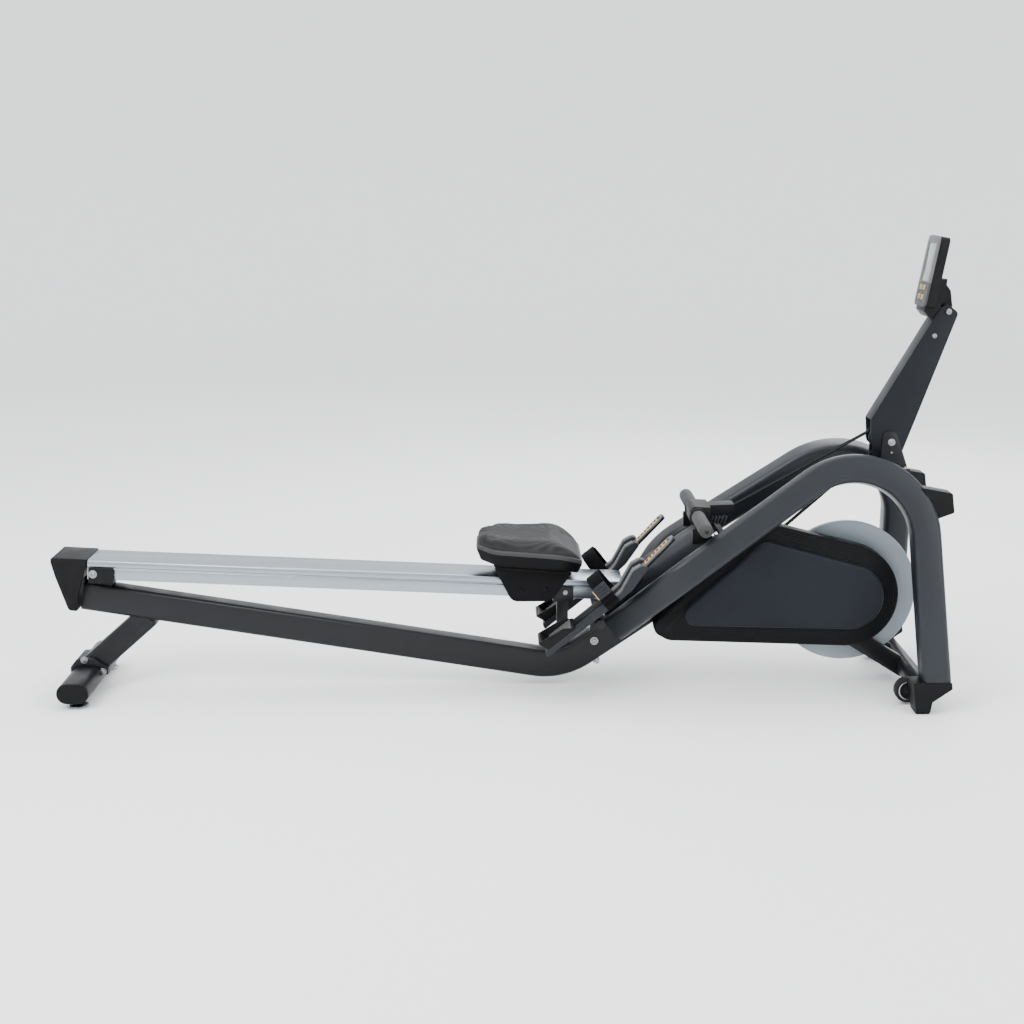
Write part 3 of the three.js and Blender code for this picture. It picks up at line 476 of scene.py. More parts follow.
def make_finishes(sizes):
    """Every finish: colour, roughness, size of grain, depth and strength of grain."""
    coat = {"Coat_Weight": 0.07, "Coat_Roughness": 0.22}
    moulded("dark_paint", tuple(sizes.loop_colour), 0.40, 1300, 0.00006, 0.3, Specular_IOR_Level=0.24, **coat)
    moulded("mast_paint", (0.0052, 0.0064, 0.0090), 0.42, 1300, 0.00006, 0.3, Specular_IOR_Level=0.16)
    moulded("black_paint", tuple(sizes.beam_colour), 0.38, 1300, 0.00006, 0.3, Specular_IOR_Level=0.18, **coat)
    moulded("shell", (0.0018, 0.0020, 0.0026), 0.44, 1500, 0.00008, 0.3, Specular_IOR_Level=0.1)
    moulded("shroud_front", (0.0075, 0.0095, 0.0135), 0.42, 1500, 0.00006, 0.25, Specular_IOR_Level=0.12)
    moulded("moulding", (0.012, 0.0135, 0.017), 0.52, 1200, 0.0001, 0.35)
    moulded("deep_black", (0.0018, 0.0018, 0.0022), 0.50, 1200, 0.0001, 0.35, Specular_IOR_Level=0.14)
    moulded("console_shell", (0.0030, 0.0033, 0.0042), 0.46, 1400, 0.00008, 0.3, Specular_IOR_Level=0.12)
    moulded("key_field", (0.034, 0.035, 0.037), 0.45, 1500, 0.00006, 0.25)
    moulded("silver", (0.085, 0.088, 0.092), 0.42, 1500, 0.00006, 0.25)
    moulded("seat_shell", (0.0016, 0.0016, 0.0020), 0.55, 1000, 0.0001, 0.4, Specular_IOR_Level=0.1)
    moulded("grip", (0.030, 0.032, 0.033), 0.68, 800, 0.00014, 0.5)
    moulded("sleeve", (0.0040, 0.0046, 0.0062), 0.62, 900, 0.00014, 0.5)
    moulded("tyre", (0.008, 0.008, 0.009), 0.66, 700, 0.0002, 0.5)
    moulded("toe_pad", (0.075, 0.077, 0.076), 0.74, 700, 0.0002, 0.5)
    moulded("silver_edge", (0.030, 0.031, 0.032), 0.5, 900, 0.00008, 0.3)
    moulded("case", (0.085, 0.088, 0.090), 0.45, 1100, 0.00008, 0.25)
    moulded("scale", (0.46, 0.27, 0.10), 0.5, 900, 0.00005, 0.2)
    moulded("key", (0.26, 0.20, 0.10), 0.5, 900, 0.00005, 0.2)
    drawn_metal("anodised", (0.30, 0.34, 0.38), 0.30, (0.02, 1, 1), 420)
    drawn_metal("zinc", (0.30, 0.31, 0.32), 0.28, (1, 1, 1), 900)
    drawn_metal("steel", (0.50, 0.51, 0.52), 0.34, (1, 0.1, 1), 700)
    drawn_metal("chrome", (0.74, 0.75, 0.76), 0.12, (1, 1, 1), 300)
    drawn_metal("rim", (0.55, 0.56, 0.57), 0.25, (1, 1, 1), 500)
    make_disc_finish()
    make_webbing_finish()
    make_seat_finish()
    make_display_finish()


# ---- sizes and colours a user would change ----
def length(name, description, default):
    return bpy.props.FloatProperty(
        name=name, description=description, default=default, unit="LENGTH", precision=4,
    )


def shade(name, description, default):
    return bpy.props.FloatVectorProperty(
        name=name, description=description, default=default, subtype="COLOR", size=3, min=0, max=1,
    )


class RowerFrameSizes(bpy.types.PropertyGroup):
    tube_corner: length("Tube corner", "Corner radius of the bent side loops", 0.014)
    loop_colour: shade("Loop colour", "Powder coat on the side loops", (0.0085, 0.0105, 0.0140))
    beam_colour: shade("Beam colour", "Powder coat on the beam, brackets and rear foot", (0.0050, 0.0056, 0.0068))


class RowerSeatSizes(bpy.types.PropertyGroup):
    crown: length("Seat crown", "Farthest that the seat skin may swell", 0.004)
    skin_inset: length("Seat inset", "How far the skin sits in from its shell", 0.003)


class RowerStageSizes(bpy.types.PropertyGroup):
    key_power: bpy.props.FloatProperty(
        name="Key light", description="Strength of the main light", default=190.0, unit="POWER",
    )
    floor_colour: shade("Floor colour", "Colour of the floor and the wall", (0.84, 0.84, 0.84))


class RowerOperator:
    bl_options = {"REGISTER", "UNDO"}

    def execute(self, context):
        self.make(context.scene)
        return {"FINISHED"}


# ---- the stage ----
FLOOR_REACH, COVE_RADIUS, COVE_STEPS = 6500, 2500, 10    # the flat floor and the bend up into its wall
CAMERA_SPOT = (0.006, -3.904, 1.272)
CAMERA_TILT, CAMERA_ROLL = math.radians(77.95), math.radians(-0.486)
CAMERA_LENS, CAMERA_SHIFT = 57.17, 0.0098
SKY_COLOUR, SKY_STRENGTH = (0.93, 0.95, 0.98, 1), 2.1


class RowerStage(RowerOperator, bpy.types.Operator):
    """Makes the floor, the wall, the lights and the camera"""
    bl_idname = "rower.stage"
    bl_label = "Stage"

    def make(self, scene):
        self.floor(scene.rower_stage)
        world = bpy.data.worlds.new("studio")
        scene.world = world
        world.use_nodes = True
        world.node_tree.nodes["Background"].inputs["Color"].default_value = SKY_COLOUR
        world.node_tree.nodes["Background"].inputs["Strength"].default_value = SKY_STRENGTH
        power = scene.rower_stage.key_power
        self.light("key", (-2.2, -2.6, 3.4), (0.1, 0, 0.4), 2.4, power)
        self.light("fill", (3.2, -2.8, 1.8), (0.2, 0, 0.4), 2.4, power * 0.35)
        self.light("top", (0.2, 0.6, 3.6), (0.1, 0, 0.2), 3.0, power * 0.55)
        self.light("back", (1.6, 3.0, 2.4), (0.2, 0, 0.6), 2.0, power * 0.3)
        self.camera(scene)

    def floor(self, sizes):
        """A round floor that bends up into its wall, seen from inside."""
        turns = [math.radians(90 * i / COVE_STEPS) for i in range(1, COVE_STEPS + 1)]
        profile = [(0, 0), (FLOOR_REACH, 0)]
        profile += [(FLOOR_REACH + COVE_RADIUS * math.sin(t), COVE_RADIUS * (1 - math.cos(t))) for t in turns]
        profile += [(FLOOR_REACH + COVE_RADIUS, 2 * COVE_RADIUS)]
        floor = lathe("floor", profile, (0, 0, 0), (0, 0, 1), 96)
        edit(floor)
        bpy.ops.mesh.normals_make_consistent(inside=True)
        done()
        only(floor)
        bpy.ops.object.shade_smooth()
        made, tree, shader = blank("studio_floor", 0.8, Specular_IOR_Level=0.15)
        shader.inputs["Base Color"].default_value = (*sizes.floor_colour, 1)
        cloud = noise(tree, object_space(tree), 3, 2)
        tree.links.new(remap(tree, cloud, 0.76, 0.84, 0.3, 0.7), shader.inputs["Roughness"])
        floor.data.materials.append(made)

    def camera(self, scene):
        camera = bpy.data.objects.new("camera", bpy.data.cameras.new("camera"))
        scene.collection.objects.link(camera)
        turn = Matrix.Rotation(CAMERA_TILT, 4, "X") @ Matrix.Rotation(CAMERA_ROLL, 4, "Z")
        camera.matrix_world = Matrix.Translation(CAMERA_SPOT) @ turn
        camera.data.lens = CAMERA_LENS
        camera.data.sensor_width = 36
        camera.data.shift_x = CAMERA_SHIFT
        camera.data.clip_end = 300
        scene.camera = camera

    def light(self, name, spot, aim, size, power):
        lamp = bpy.data.objects.new(name, bpy.data.lights.new(name, "AREA"))
        lamp.data.size = size
        lamp.data.energy = power
        bpy.context.scene.collection.objects.link(lamp)
        way = Vector(aim) - Vector(spot)
        lamp.matrix_world = Matrix.Translation(spot) @ way.to_track_quat("-Z", "Y").to_matrix().to_4x4()


# ---- finishes on the solids that stay ----
class RowerFinishes(RowerOperator, bpy.types.Operator):
    """Makes every finish and gives the inner solids theirs"""
    bl_idname = "rower.finishes"
    bl_label = "Finishes"

    KEPT = {
        "magnet_brake": "shell", "flywheel_axle": "steel", "drive_belt": "sleeve", "strap_lower": "webbing",
        "strap_drum": "steel", "belt_pulley": "shell", "strap_pulley": "shell", "handle_bar": "chrome",
    }

    def make(self, scene):
        make_finishes(scene.rower_frame)
        for name, finish in self.KEPT.items():
            solid = frame["nodes"][name]
            solid.data.materials.clear()
            solid.data.materials.append(FINISHES[finish])


BODY = {solid: body for body, solids in frame["record"]["behaviour"]["bodies"].items() for solid in solids}


def reskin(solid, finish, bevel=1.0, segments=2, angle=32):
    """A softened copy of one CAD solid in its finish, in that solid's place."""
    return mount(copy_of(solid, None, bevel, segments, angle), BODY[solid], finish)


def trim(piece, place, normal):
    """Cuts off what lies beyond a plane, and closes the cut."""
    edit(piece)
    bpy.ops.mesh.bisect(plane_co=mm(*place), plane_no=normal, use_fill=True, clear_outer=True, threshold=1e-6)
    done()
    return outward(piece)


def hollowed(piece, normal, wall):
    """Takes off the faces that look one way, then gives the shell a wall inwards."""
    edit(piece, False)
    way = Vector(normal)
    pick(piece, "faces", lambda f: f.normal.dot(way) > 0.99)
    bpy.ops.mesh.delete(type="FACE")
    done()
    return modify(piece, "SOLIDIFY", thickness=wall / 1000, offset=-1.0, use_even_offset=True)


# ---- rail, beam and the rear foot ----
class RowerRail(RowerOperator, bpy.types.Operator):
    """Makes the seat rail with its brackets and the boot at its rear end"""
    bl_idname = "rower.rail"
    bl_label = "Rail"

    def make(self, scene):
        reskin("rail", "anodised", 0.7, 2)
        reskin("rail_rear_bracket", "deep_black", 1.5, 3)
        reskin("rail_front_bracket", "black_paint", 2.0, 3)
        reskin("rear_boot", "deep_black", 5.0, 4, 25)
        for y in (-1, 1):
            bolt(f"boot_bolt_{'near' if y < 0 else 'far'}", (-991, y * 64.2, 306), (0, y, 0), 7, "frame", 10)
            bolt(f"front_bracket_bolt_{'near' if y < 0 else 'far'}", (159, y * 64.2, 250), (0, y, 0), 4.5, "frame", 6)


class RowerBeam(RowerOperator, bpy.types.Operator):
    """Makes the bent main beam, the strut and the rear foot"""
    bl_idname = "rower.beam"
    bl_label = "Main beam"

    def make(self, scene):
        top = 48.6 + math.tan(math.radians(34)) * (572 - 148)
        beam = tube(
            "beam_tube", box_outline(70, 56, 9, 4),
            [(-1030, 0, 241.5, 0), (148, 0, 48.6, 165), (572, 0, top, 0)], 14,
        )
        mount(soften(beam, 1.2), "frame", "black_paint", replaces=("main_beam",))
        reskin("rear_strut", "black_paint", 2.0, 3)
        reskin("rear_stabilizer", "black_paint", 2.0, 3)
        for side, s in SIDES:
            reskin(f"stabilizer_cap_{side}", "deep_black", 2.5, 3)
            reskin(f"leveler_{side}", "zinc", 0.6, 2)
        bolt("strut_bolt_upper", (-1031, -43, 81.5), (0, -1, 0), 6, "frame", 9)
        bolt("strut_bolt_lower", (-986, -43, 51.4), (0, -1, 0), 6, "frame", 9)


# ---- the side loops ----
class RowerLoops(RowerOperator, bpy.types.Operator):
    """Makes the two bent side loops"""
    bl_idname = "rower.loops"
    bl_label = "Side loops"

    def make(self, scene):
        corner = scene.rower_frame.tube_corner * 1000
        for side, s in SIDES:
            path = [(*spot[:1], s * spot[1], *spot[2:]) for spot in LOOP_PATH]
            loop = tube(f"loop_tube_{side}", box_outline(68, 60, corner, 5), path, 18)
            trim(loop, (0, 0, 78), (0, 0, -1))
            trim(loop, (0, s * 28.4, 0), (0, -s, 0))
            mount(soften(loop, 0.8), "frame", "dark_paint", replaces=(f"loop_{side}",))


LOOP_SPLAY, LOOP_APEX = 0.27, (105, 565)
LOOP_BEND, LOOP_RADIUS, LOOP_PITCH, LEG_LEAN = (843, 394.5), 166, math.radians(34.5), math.radians(2.6)


def loop_y(z):
    return LOOP_APEX[0] + LOOP_SPLAY * (LOOP_APEX[1] - z)


def incline_at(x):
    top = math.radians(124.5)
    start = LOOP_BEND[0] + LOOP_RADIUS * math.cos(top)
    return LOOP_BEND[1] + LOOP_RADIUS * math.sin(top) + math.tan(LOOP_PITCH) * (x - start)


def leg_at(z):
    start = LOOP_BEND[0] + LOOP_RADIUS * math.cos(LEG_LEAN)
    return start + math.tan(LEG_LEAN) * (LOOP_BEND[1] - z)


def loop_path():
    """Foot, upper corner, lower corner and the end on the beam."""
    low, high = 200.0, 900.0
    for _ in range(60):
        z = (low + high) / 2
        low, high = (z, high) if incline_at(leg_at(z)) > z else (low, z)
    places = [(leg_at(60), 60, 0), (leg_at(low), low, LOOP_RADIUS), (424, incline_at(424), 95)]
    return [(x, loop_y(z), z, r) for x, z, r in places] + [(292, 12, 152, 0)]


LOOP_PATH = loop_path()


# ---- front base ----
class RowerBase(RowerOperator, bpy.types.Operator):
    """Makes the front cross tube, feet, wheels, bumpers and fork bars"""
    bl_idname = "rower.base"
    bl_label = "Front base"

    def make(self, scene):
        reskin("front_cross_tube", "black_paint", 0.8, 2)
        for side, s in SIDES:
            reskin(f"front_foot_{side}", "deep_black", 3.0, 4)
            reskin(f"bumper_{side}", "deep_black", 3.0, 3)
            reskin(f"fork_{side}", "black_paint", 1.5, 2)
            y = s * 186
            tyre = [(5.1, -9), (10, -9.5), (12, -7), (18, -7), (19.5, -11), (21, -12), (27, -12), (30, -10.5), (31, -8),
                    (31, 8), (30, 10.5), (27, 12), (21, 12), (19.5, 11), (18, 7), (12, 7), (10, 9.5), (5.1, 9)]
            mount(lathe(f"wheel_tyre_{side}", tyre, (972, y, 36)), f"wheel_{side}", "tyre",
                  replaces=(f"transport_wheel_{side}",))
            ring = [(20.2, -12.6), (22.6, -12.6), (22.6, -11.8), (20.2, -11.8)]
            mount(lathe(f"wheel_ring_{side}", ring, (972, y, 36)), f"wheel_{side}", "rim")


# ---- flywheel ----
class RowerFlywheel(RowerOperator, bpy.types.Operator):
    """Makes the turned flywheel"""
    bl_idname = "rower.flywheel"
    bl_label = "Flywheel"

    def make(self, scene):
        profile = [
            (8.1, -40), (22, -40), (24, -39), (24, -35), (60, -34.6), (172, -34.6), (173.2, -35), (175, -33.6), (175, -24.4), (173.2, -23), (172, -23.4), (24, -23.4),
            (24, -17), (23, -16), (13, -16), (13, 17), (22, 17), (22, 31), (8.1, 31),
        ]
        disc = lathe("flywheel_disc", profile, (845, 0, 242), steps=128)
        mount(disc, "flywheel", "disc", 30, ("flywheel",))


# ---- shrouds ----
SHROUD_RIM = [(358, 160, 24), (410, 131, 44), *arc(841, 241, 127, -88, 75, 26), (640, 425, 34)]
SHROUD_FACE = [(406, 177, 26), *arc(846, 243, 80, -84, 72, 20), (637, 384.5, 28)]


class RowerShrouds(RowerOperator, bpy.types.Operator):
    """Makes the stepped near shroud and the plain far one"""
    bl_idname = "rower.shrouds"
    bl_label = "Shrouds"

    def make(self, scene):
        pan = slab("shroud_pan", rounded(SHROUD_RIM, 8), -84, -39)
        hollowed(soften(pan, 5, 4), (0, 1, 0), 3)
        mount(pan, "frame", "shell", 30, ("shroud_near",))
        for i in range(5):
            outline = shrunk(SHROUD_RIM, 6.5 + 6.6 * i)
            step = slab(f"shroud_step_{i + 1}", rounded(outline, 8), -85.8 - 1.5 * i, -83)
            mount(soften(step, 0.7, 2), "frame", "shell", 30)
        face = slab("shroud_panel", rounded(SHROUD_FACE, 10), -112, -84)
        mount(soften(face, 6, 5), "frame", "shroud_front", 30)
        reskin("shroud_far", "shell", 4.0, 4)


class RowerSpine(RowerOperator, bpy.types.Operator):
    """Makes the cover over the beam's upper end"""
    bl_idname = "rower.spine"
    bl_label = "Spine cover"

    def make(self, scene):
        reskin("spine_cover", "moulding", 4.0, 4, 25)
        reskin("handle_rest", "deep_black", 1.8, 3)


# ---- mast and strap pulley ----
class RowerMast(RowerOperator, bpy.types.Operator):
    """Makes the mast, its bracket and the pulley bracket"""
    bl_idname = "rower.mast"
    bl_label = "Mast"

    def make(self, scene):
        reskin("mast", "mast_paint", 1.6, 3)
        reskin("mast_bracket", "black_paint", 2.0, 3)
        reskin("pulley_bracket", "black_paint", 1.2, 2)
        bolt("mast_bolt_upper", (1071, -30.2, 922), (0, -1, 0), 8, "frame")
        bolt("mast_bolt_lower", (1040, -30.2, 865), (0, -1, 0), 6.5, "frame")
        bolt("bracket_bolt_upper", (937, -77.2, 617), (0, -1, 0), 6, "frame", 8.5)
        bolt("bracket_bolt_lower", (938, -77.2, 592), (0, -1, 0), 2.6, "frame")


# ---- console ----
class RowerConsole(RowerOperator, bpy.types.Operator):
    """Makes the console's housing, bezel, window and keys"""
    bl_idname = "rower.console"
    bl_label = "Console"

    def make(self, scene):
        reskin("console_housing", "console_shell", 3.2, 4)
        for name, finish, way in (("bezel_upper", "silver", 1), ("bezel_lower", "key_field", -1)):
            half = copy_of("console_bezel", name, 0)
            edit(half)
            split, up = mm(1013, 0, 993), Vector((0.293, 0, 0.956))
            bpy.ops.mesh.bisect(plane_co=split, plane_no=up, use_fill=True, clear_inner=way > 0, clear_outer=way < 0)
            done()
            mount(soften(half, 1.2, 3), "console", finish)
        reskin("display", "lcd", 0.4, 2)
        for level in ("upper", "lower"):
            for side, _ in SIDES:
                reskin(f"button_{level}_{side}", "key", 0.8, 3)


# ---- handle ----
class RowerHandle(RowerOperator, bpy.types.Operator):
    """Makes the handle's grips and its moulded centre"""
    bl_idname = "rower.handle"
    bl_label = "Handle"

    def make(self, scene):
        for side, s in SIDES:
            profile = [(0, 226)]
            profile += [(17 * math.sin(math.radians(t)), 209 + 17 * math.cos(math.radians(t))) for t in range(12, 90, 13)]
            profile += [(17, 200), (17, 66), (16, 62), (16, 58), (17.4, 57), (17.4, 53), (16.4, 52), (0, 52)]
            grip = lathe(f"grip_skin_{side}", [(a, s * b) for a, b in profile], (481, 0, 434), steps=48)
            mount(grip, "handle", "grip", 35, (f"grip_{side}",))
            ring = [(16.6, 49), (19.5, 49), (21, 51), (21, 55.5), (19.5, 57.5), (16.6, 57.5)]
            mount(lathe(f"sleeve_ring_{side}", [(a, s * b) for a, b in ring], (481, 0, 434)), "handle", "deep_black")
            nub = [(0, 229.5), (2.4, 229.2), (4.2, 227.8), (5, 225), (5, 222), (0, 222)]
            mount(lathe(f"grip_nub_{side}", [(a, s * b) for a, b in nub], (481, 0, 434), steps=24), "handle", "sleeve")
            folds = []
            for i in range(6):
                x = 500 + 8.5 * i
                fold = rounded([(x, 413, 1.4), (x + 4, 412, 1.4), (x + 13, 431, 1.4), (x + 9, 432, 1.4)], 3)
                folds.append(soften(slab(f"fold_{side}_{i}", fold, min(s * 24, s * 45), max(s * 24, s * 45)), 1.0, 2))
            mount(joined(f"sleeve_folds_{side}", *folds), "handle", "moulding")
        reskin("handle_sleeve", "sleeve", 3.0, 4)


# ---- strap ----
class RowerStrap(RowerOperator, bpy.types.Operator):
    """Makes the pull strap from the handle to its top pulley"""
    bl_idname = "rower.strap"
    bl_label = "Pull strap"

    def make(self, scene):
        hand, pulley = (574.6, 452.2), (909.4, 638.0)
        way = Vector((pulley[0] - hand[0], pulley[1] - hand[1]))
        off = Vector((-way.y, way.x)).normalized() * 1.2
        along = [Vector(hand) + way * i / 48 for i in range(49)]
        outline = [p - off for p in along] + [p + off for p in reversed(along)]
        strap = slab("pull_strap", outline, -11, 11)
        dress(strap, "webbing", 30, ("strap_upper",))
        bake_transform(strap)


# ---- seat ----
SEAT_HALF = [(-58, 50, 34), (-16, 112, 46), (156, 134, 46), (200, 96, 40)]    # one side of the plan, rear to front
SEAT_PLAN = [(x, -y, r) for x, y, r in SEAT_HALF] + SEAT_HALF[::-1]
def seat_fall(x):
    """How far the seat's edge has fallen at x, in millimetres, with a drop at the front corners."""
    return SEAT_PITCH * (x + 45) + 20 * max((x - 132) / 68, 0) ** 2


def seat_top(x, y):
    """Height of the dished seat, in millimetres: it rolls down at its sides and falls away at the front."""
    dish = 4.0 * min(((x - 40) / 95) ** 2, 1.2) + 5.0 * (y / 118) ** 2 - 9 * max((abs(y) - 92) / 42, 0) ** 2
    nose = 42 * max((x - 118) / 82, 0) ** 1.9
    return 383 - SEAT_PITCH * (x - 40) + dish - nose


def lean(piece):
    """Pitches the lower part of the seat forward, more so at its front corners."""
    for vert in piece.data.vertices:
        vert.co.z -= seat_fall(vert.co.x * 1000) / 1000


SKIRT = rounded([(-14, 318, 3), (28, 231, 24), (124, 231, 24), (176, 303, 3)], 6)


class RowerSeat(RowerOperator, bpy.types.Operator):
    """Makes the padded seat and its carriage"""
    bl_idname = "rower.seat"
    bl_label = "Seat"

    def tuck(self, piece, level, inwards):
        """Draws the bottom edge in under the seat."""
        edit(piece, False)
        pick(piece, "verts", lambda v: abs(v.co.z - level / 1000) < 1e-5)
        bpy.ops.transform.resize(value=(1 - inwards / 120, 1 - inwards / 120, 1), center_override=mm(74, 0, level))
        done()

    def skin(self, sizes):
        """The padded skin: shaped to the dish, then puffed a little by cloth pressure."""
        inset = sizes.skin_inset * 1000
        pad = slab("seat_skin", rounded(shrunk(SEAT_PLAN, inset), 8), 360, 380, "Z")
        soften(pad, 8, 4)
        modify(pad, "REMESH", mode="VOXEL", voxel_size=0.0045, use_smooth_shade=True)
        self.dish(pad)
        self.puff(pad, sizes.crown)
        modify(pad, "SMOOTH", iterations=8, factor=0.5)
        modify(pad, "SUBSURF", levels=1, render_levels=1)
        for vert in pad.data.vertices:
            x, y = vert.co.x - 0.06, abs(vert.co.y) - 0.062
            wave = 0.5 - 0.5 * math.sin(math.hypot(0.55 * x, y) * RIB_RATE)
            if vert.normal.z > 0.86:
                vert.co.z -= 0.0009 * wave * min((vert.normal.z - 0.86) * 12, 1)
        return pad

    def dish(self, pad):
        edit(pad, False)
        mesh = bmesh.from_edit_mesh(pad.data)
        for vert in mesh.verts:
            x, y, z = vert.co * 1000
            rise = min(max((z - 360) / 20, 0), 1)
            edge = 360 - seat_fall(x)
            vert.co.z = (edge + rise * (max(seat_top(x, y), edge + 12) - edge)) / 1000
        bmesh.update_edit_mesh(pad.data)
        done()

    def puff(self, pad, most):
        rest = [vert.co.copy() for vert in pad.data.vertices]
        held = pad.vertex_groups.new(name="held")
        held.add([i for i, spot in enumerate(rest) if spot.z < 0.3635 - seat_fall(spot.x * 1000) / 1000], 1.0, "REPLACE")
        only(pad)
        bpy.ops.object.modifier_add(type="CLOTH")
        cloth = pad.modifiers[-1]
        cloth.settings.quality = 5
        cloth.settings.mass = 0.3
        cloth.settings.use_pressure = True
        cloth.settings.uniform_pressure_force = 4.0
        cloth.settings.tension_stiffness = cloth.settings.compression_stiffness = 40
        cloth.settings.bending_stiffness = 4
        cloth.settings.vertex_group_mass = "held"
        cloth.settings.effector_weights.gravity = 0
        cloth.collision_settings.use_collision = False
        scene = bpy.context.scene
        for step in range(1, 21):
            scene.frame_set(step)
        bpy.ops.object.modifier_apply(modifier=cloth.name)
        scene.frame_set(1)
        for vert, before in zip(pad.data.vertices, rest):
            move = vert.co - before
            if move.length > most:
                vert.co = before + move.normalized() * most

    def make(self, scene):
        plan = rounded(SEAT_PLAN, 8)
        base = slab("seat_base", plan, 329.5, 358, "Z")
        self.tuck(base, 329.5, 10)
        edit(base)
        bpy.ops.mesh.bisect(plane_co=mm(125, 0, 0), plane_no=(1, 0, 0))
        done()
        lean(base)
        mount(soften(base, 2.5, 3), "seat", "seat_shell")
        mount(self.skin(scene.rower_seat), "seat", "seat_skin", 60, ("seat_pad",))
        trim_line = slab("seat_trim", rounded(shrunk(SEAT_PLAN, 0.6), 8), 357.5, 369.5, "Z")
        lean(trim_line)
        mount(soften(trim_line, 3.5, 4), "seat", "silver_edge")
        reskin("seat_carriage", "seat_shell", 1.5, 3)
        for end in ("rear", "front"):
            reskin(f"seat_roller_{end}", "tyre", 1.0, 2)
        for side, s in SIDES:
            cover = slab(f"skirt_{side}", SKIRT, *sorted((s * 71.0, s * 74.6)))
            edit(cover, False)
            pick(cover, "faces", lambda f: s * f.normal.y > 0.9)
            bpy.ops.mesh.inset(thickness=0.006, depth=-0.0012)
            done()
            mount(soften(cover, 1.0, 2), "seat", "seat_shell")
            for x in (52, 112):
                bolt(f"carriage_bolt_{side}_{x}", (x, s * 73.3, 262), (0, s, 0), 5, "seat", 7.5, "shell")


# ---- footrests ----
class RowerFootrests(RowerOperator, bpy.types.Operator):
    """Makes the footplates, heel cups, straps and the bar that carries them"""
    bl_idname = "rower.footrests"
    bl_label = "Footrests"

    def make(self, scene):
        reskin("foot_crossbar", "black_paint", 0.8, 2)
        for side, s in SIDES:
            reskin(f"footplate_{side}", "moulding", 2.2, 3)
            slider = f"heel_slider_{side}"
            cup = copy_of(slider, None, 1.8, 3)
            for vert in cup.data.vertices:
                lower_wall(vert)
            mount(cup, slider, "deep_black")
            reskin(f"foot_strap_{side}", "webbing", 0.6, 2)
            halves = [ribbed(f"toe_rib_{side}_{i}", TOE_TOP, s, y0, y1) for i, (y0, y1) in enumerate(((-43, -20), (20, 43)))]
            mount(joined(f"toe_pad_{side}", *halves), "frame", "toe_pad", 50)
            mount(ribbed(f"heel_pad_{side}", [(24, 18.4), (90, 18.4)], s, -40, 40), slider, "toe_pad", 50)
            self.tongue(side, s, slider)
            self.buckle(side, s)
        bolt("beam_bolt", (232, -28.4, 116), (0, -1, 0), 7, "frame", 10)
        pin = [(0, 0), (4, 0), (4, 20), (9, 20), (9, 27), (4.6, 28), (4.6, 34), (0, 35)]
        mount(lathe("beam_pin", pin, (226, -14, 84), (0.48, 0, -0.88), 24), "frame", "zinc")

    def tongue(self, side, s, slider):
        """The sliding tongue's casing, its pale face and the marks across it."""
        case = rounded([
            (288, -16.5), (356, -16.5, 12), (368, -21, 10), (414, -21, 20), (414, 21, 20), (368, 21, 10), (356, 16.5, 12),
            (288, 16.5),
        ], 6)
        blade = prism(f"tongue_case_{side}", [on_tongue(t, y, 0, s) for t, y in case], on_tongue(0, 0, 4.6, s) - on_tongue(0, 0, 0, s))
        mount(soften(blade, 1.2, 3), slider, "case")
        face = rounded([(296, -12, 4), (402, -12, 11), (402, 12, 11), (296, 12, 4)], 6)
        plate = prism(f"tongue_face_{side}", [on_tongue(t, y, 4.4, s) for t, y in face], on_tongue(0, 0, 1.0, s) - on_tongue(0, 0, 0, s))
        mount(soften(plate, 0.3, 2), slider, "scale")
        marks = []
        for i in range(9):
            t = 304 + 11.5 * i
            ends = [(t, -8), (t + 7, -8), (t + 7, 8), (t, 8)]
            spots = [on_tongue(a, y, 5.2, s) for a, y in ends]
            marks.append(outward(prism(f"mark_{side}_{i}", spots, on_tongue(0, 0, 0.6, s) - on_tongue(0, 0, 0, s))))
        mount(joined(f"tongue_marks_{side}", *marks), slider, "deep_black")

    def buckle(self, side, s):
        """A ladder buckle on the outer side of the strap."""
        rise = Vector((0, s * 4, 0)) / 1000
        outline = rounded([(187, 34, 3), (223, 34, 3), (223, 66, 3), (187, 66, 3)], 4)
        parts = [soften(prism(f"buckle_{side}", [on_plate(t, 50.6, n, s) for t, n in outline], rise), 0.8, 2)]
        for i in range(4):
            n = 38 + 7.4 * i
            bar = rounded([(190, n, 1), (220, n, 1), (220, n + 3, 1), (190, n + 3, 1)], 3)
            rung = prism(f"rung_{side}_{i}", [on_plate(t, 54.4, m, s) for t, m in bar], rise * 0.6)
            parts.append(soften(rung, 0.6, 2))
        mount(joined(f"strap_buckle_{side}", *parts), "frame", "moulding")
        edge = prism(f"strap_edge_{side}", [on_plate(t, 50.6, n, s) for t, n in ((185.6, 36), (187, 36), (187, 62), (185.6, 62))], rise)
        mount(edge, "frame", "scale")


FOOT_TILT, FOOT_HEEL, FOOT_Y = math.radians(38.6), (112, 116), 122
TOE_TOP = rounded([(190, 14), (236, 14, 40), (292, 38, 14), (314, 34.6)], 8)


def lower_wall(vert):
    """Draws the heel cup's wall down towards the footplate."""
    c, d = math.cos(FOOT_TILT), math.sin(FOOT_TILT)
    x, z = vert.co.x * 1000 - FOOT_HEEL[0], vert.co.z * 1000 - FOOT_HEEL[1]
    t, n = x * c + z * d, z * c - x * d
    if n > 22 and t < 110:
        drop = (n - 22) * 0.45 / 1000
        vert.co.x += drop * d
        vert.co.z -= drop * c


def on_plate(t, y, n, s):
    """A spot t along the footplate, n above it and y out from its middle, on one side."""
    c, d = math.cos(FOOT_TILT), math.sin(FOOT_TILT)
    return mm(FOOT_HEEL[0] + t * c - n * d, s * (FOOT_Y + y), FOOT_HEEL[1] + t * d + n * c)


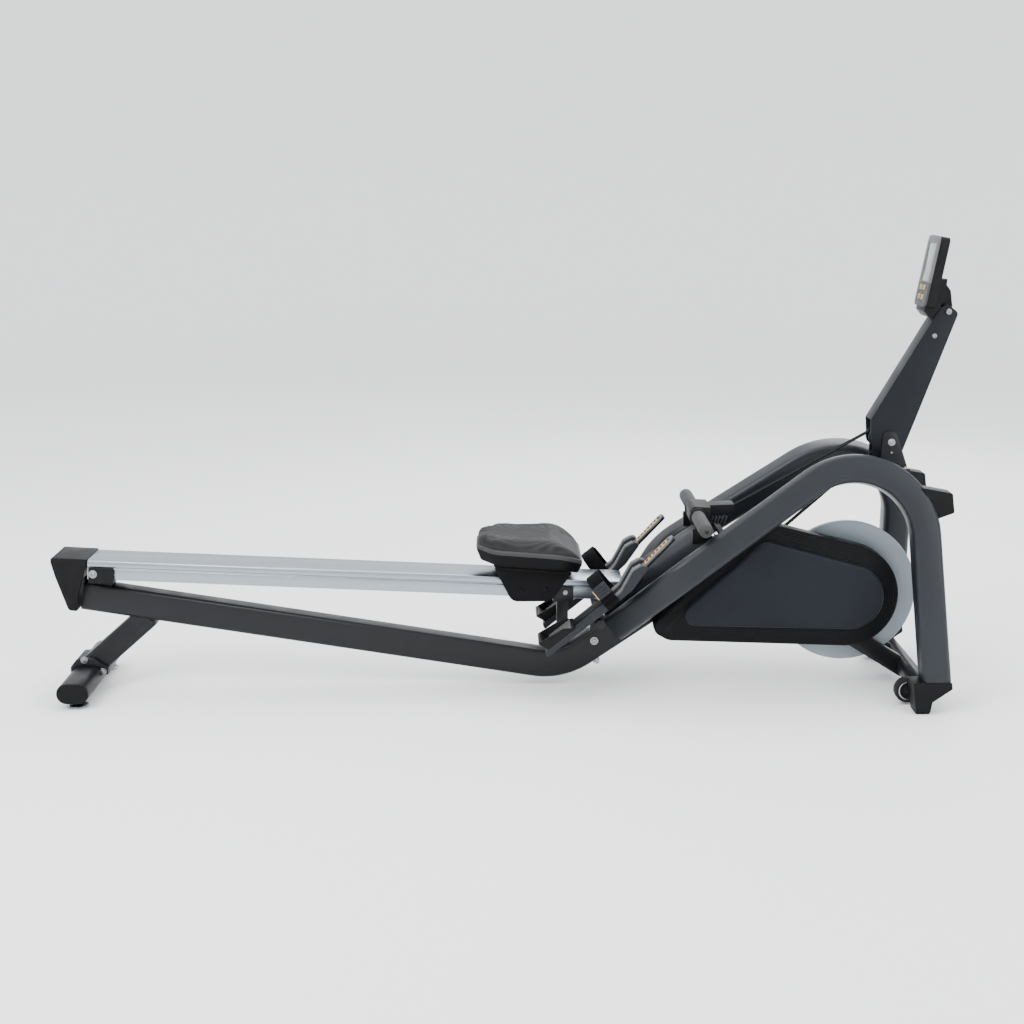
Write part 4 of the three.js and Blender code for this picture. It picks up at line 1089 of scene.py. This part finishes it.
def on_tongue(t, y, n, s):
    """The same on the tongue, which leans up from the plate."""
    lift = 13.5 + (t - 266) * 20 / 146
    return on_plate(t - n * 0.13, y, lift + n, s)


def prism(name, places, way):
    """A traced outline pushed along one direction."""
    piece = trace(name, places)
    bpy.ops.mesh.extrude_region_move(TRANSFORM_OT_translate={"value": way})
    return outward(piece)


def ribbed(name, path, s, y0, y1, pitch=8.0):
    """A rubber pad that follows a path along the footplate, with ribs across it."""
    low, high, gone = [], [], 0.0
    for (t0, n0), (t1, n1) in zip(path, path[1:]):
        span = math.hypot(t1 - t0, n1 - n0)
        side = (-(n1 - n0) / span, (t1 - t0) / span)
        count = max(int(span / 1.3), 1)
        for i in range(count):
            t, n = t0 + (t1 - t0) * i / count, n0 + (n1 - n0) * i / count
            rise = 1.8 + 1.3 * abs(math.sin(math.pi * (gone + span * i / count) / pitch)) ** 0.6
            low.append((t - side[0] * 0.4, n - side[1] * 0.4))
            high.append((t + side[0] * rise, n + side[1] * rise))
        gone += span
    outline = low + high[::-1]
    piece = trace(name, [on_plate(t, y0, n, s) for t, n in outline])
    bpy.ops.mesh.extrude_region_move(TRANSFORM_OT_translate={"value": (0, s * (y1 - y0) / 1000, 0)})
    return soften(outward(piece), 0.7, 2, 60)


# ---- the panel and the order of work ----
STEPS = (
    RowerFinishes, RowerStage, RowerRail, RowerBeam, RowerLoops, RowerBase, RowerFlywheel, RowerShrouds, RowerSpine,
    RowerMast, RowerConsole, RowerHandle, RowerStrap, RowerSeat, RowerFootrests,
)


class RowerPanel(bpy.types.Panel):
    """Lists the rowing machine's pieces and sizes"""
    bl_idname = "VIEW3D_PT_rower"
    bl_label = "Rowing machine"
    bl_space_type = "VIEW_3D"
    bl_region_type = "UI"
    bl_category = "Rower"

    def draw(self, context):
        for name in ("rower_frame", "rower_seat", "rower_stage"):
            group = getattr(context.scene, name)
            for key in group.__annotations__:
                self.layout.prop(group, key)
        for step in STEPS:
            self.layout.operator(step.bl_idname)


GROUPS = {"rower_frame": RowerFrameSizes, "rower_seat": RowerSeatSizes, "rower_stage": RowerStageSizes}


def register():
    for cls in (*GROUPS.values(), *STEPS, RowerPanel):
        bpy.utils.register_class(cls)
    for name, group in GROUPS.items():
        setattr(bpy.types.Scene, name, bpy.props.PointerProperty(type=group))


def unregister():
    for name in GROUPS:
        delattr(bpy.types.Scene, name)
    for cls in reversed((*GROUPS.values(), *STEPS, RowerPanel)):
        bpy.utils.unregister_class(cls)


def main():
    register()
    for step in STEPS:
        name = step.bl_idname.split(".")[1]
        if getattr(bpy.ops.rower, name)() != {"FINISHED"}:
            raise RuntimeError(f"{step.bl_label} was not finished")


if __name__ == "__main__":
    main()
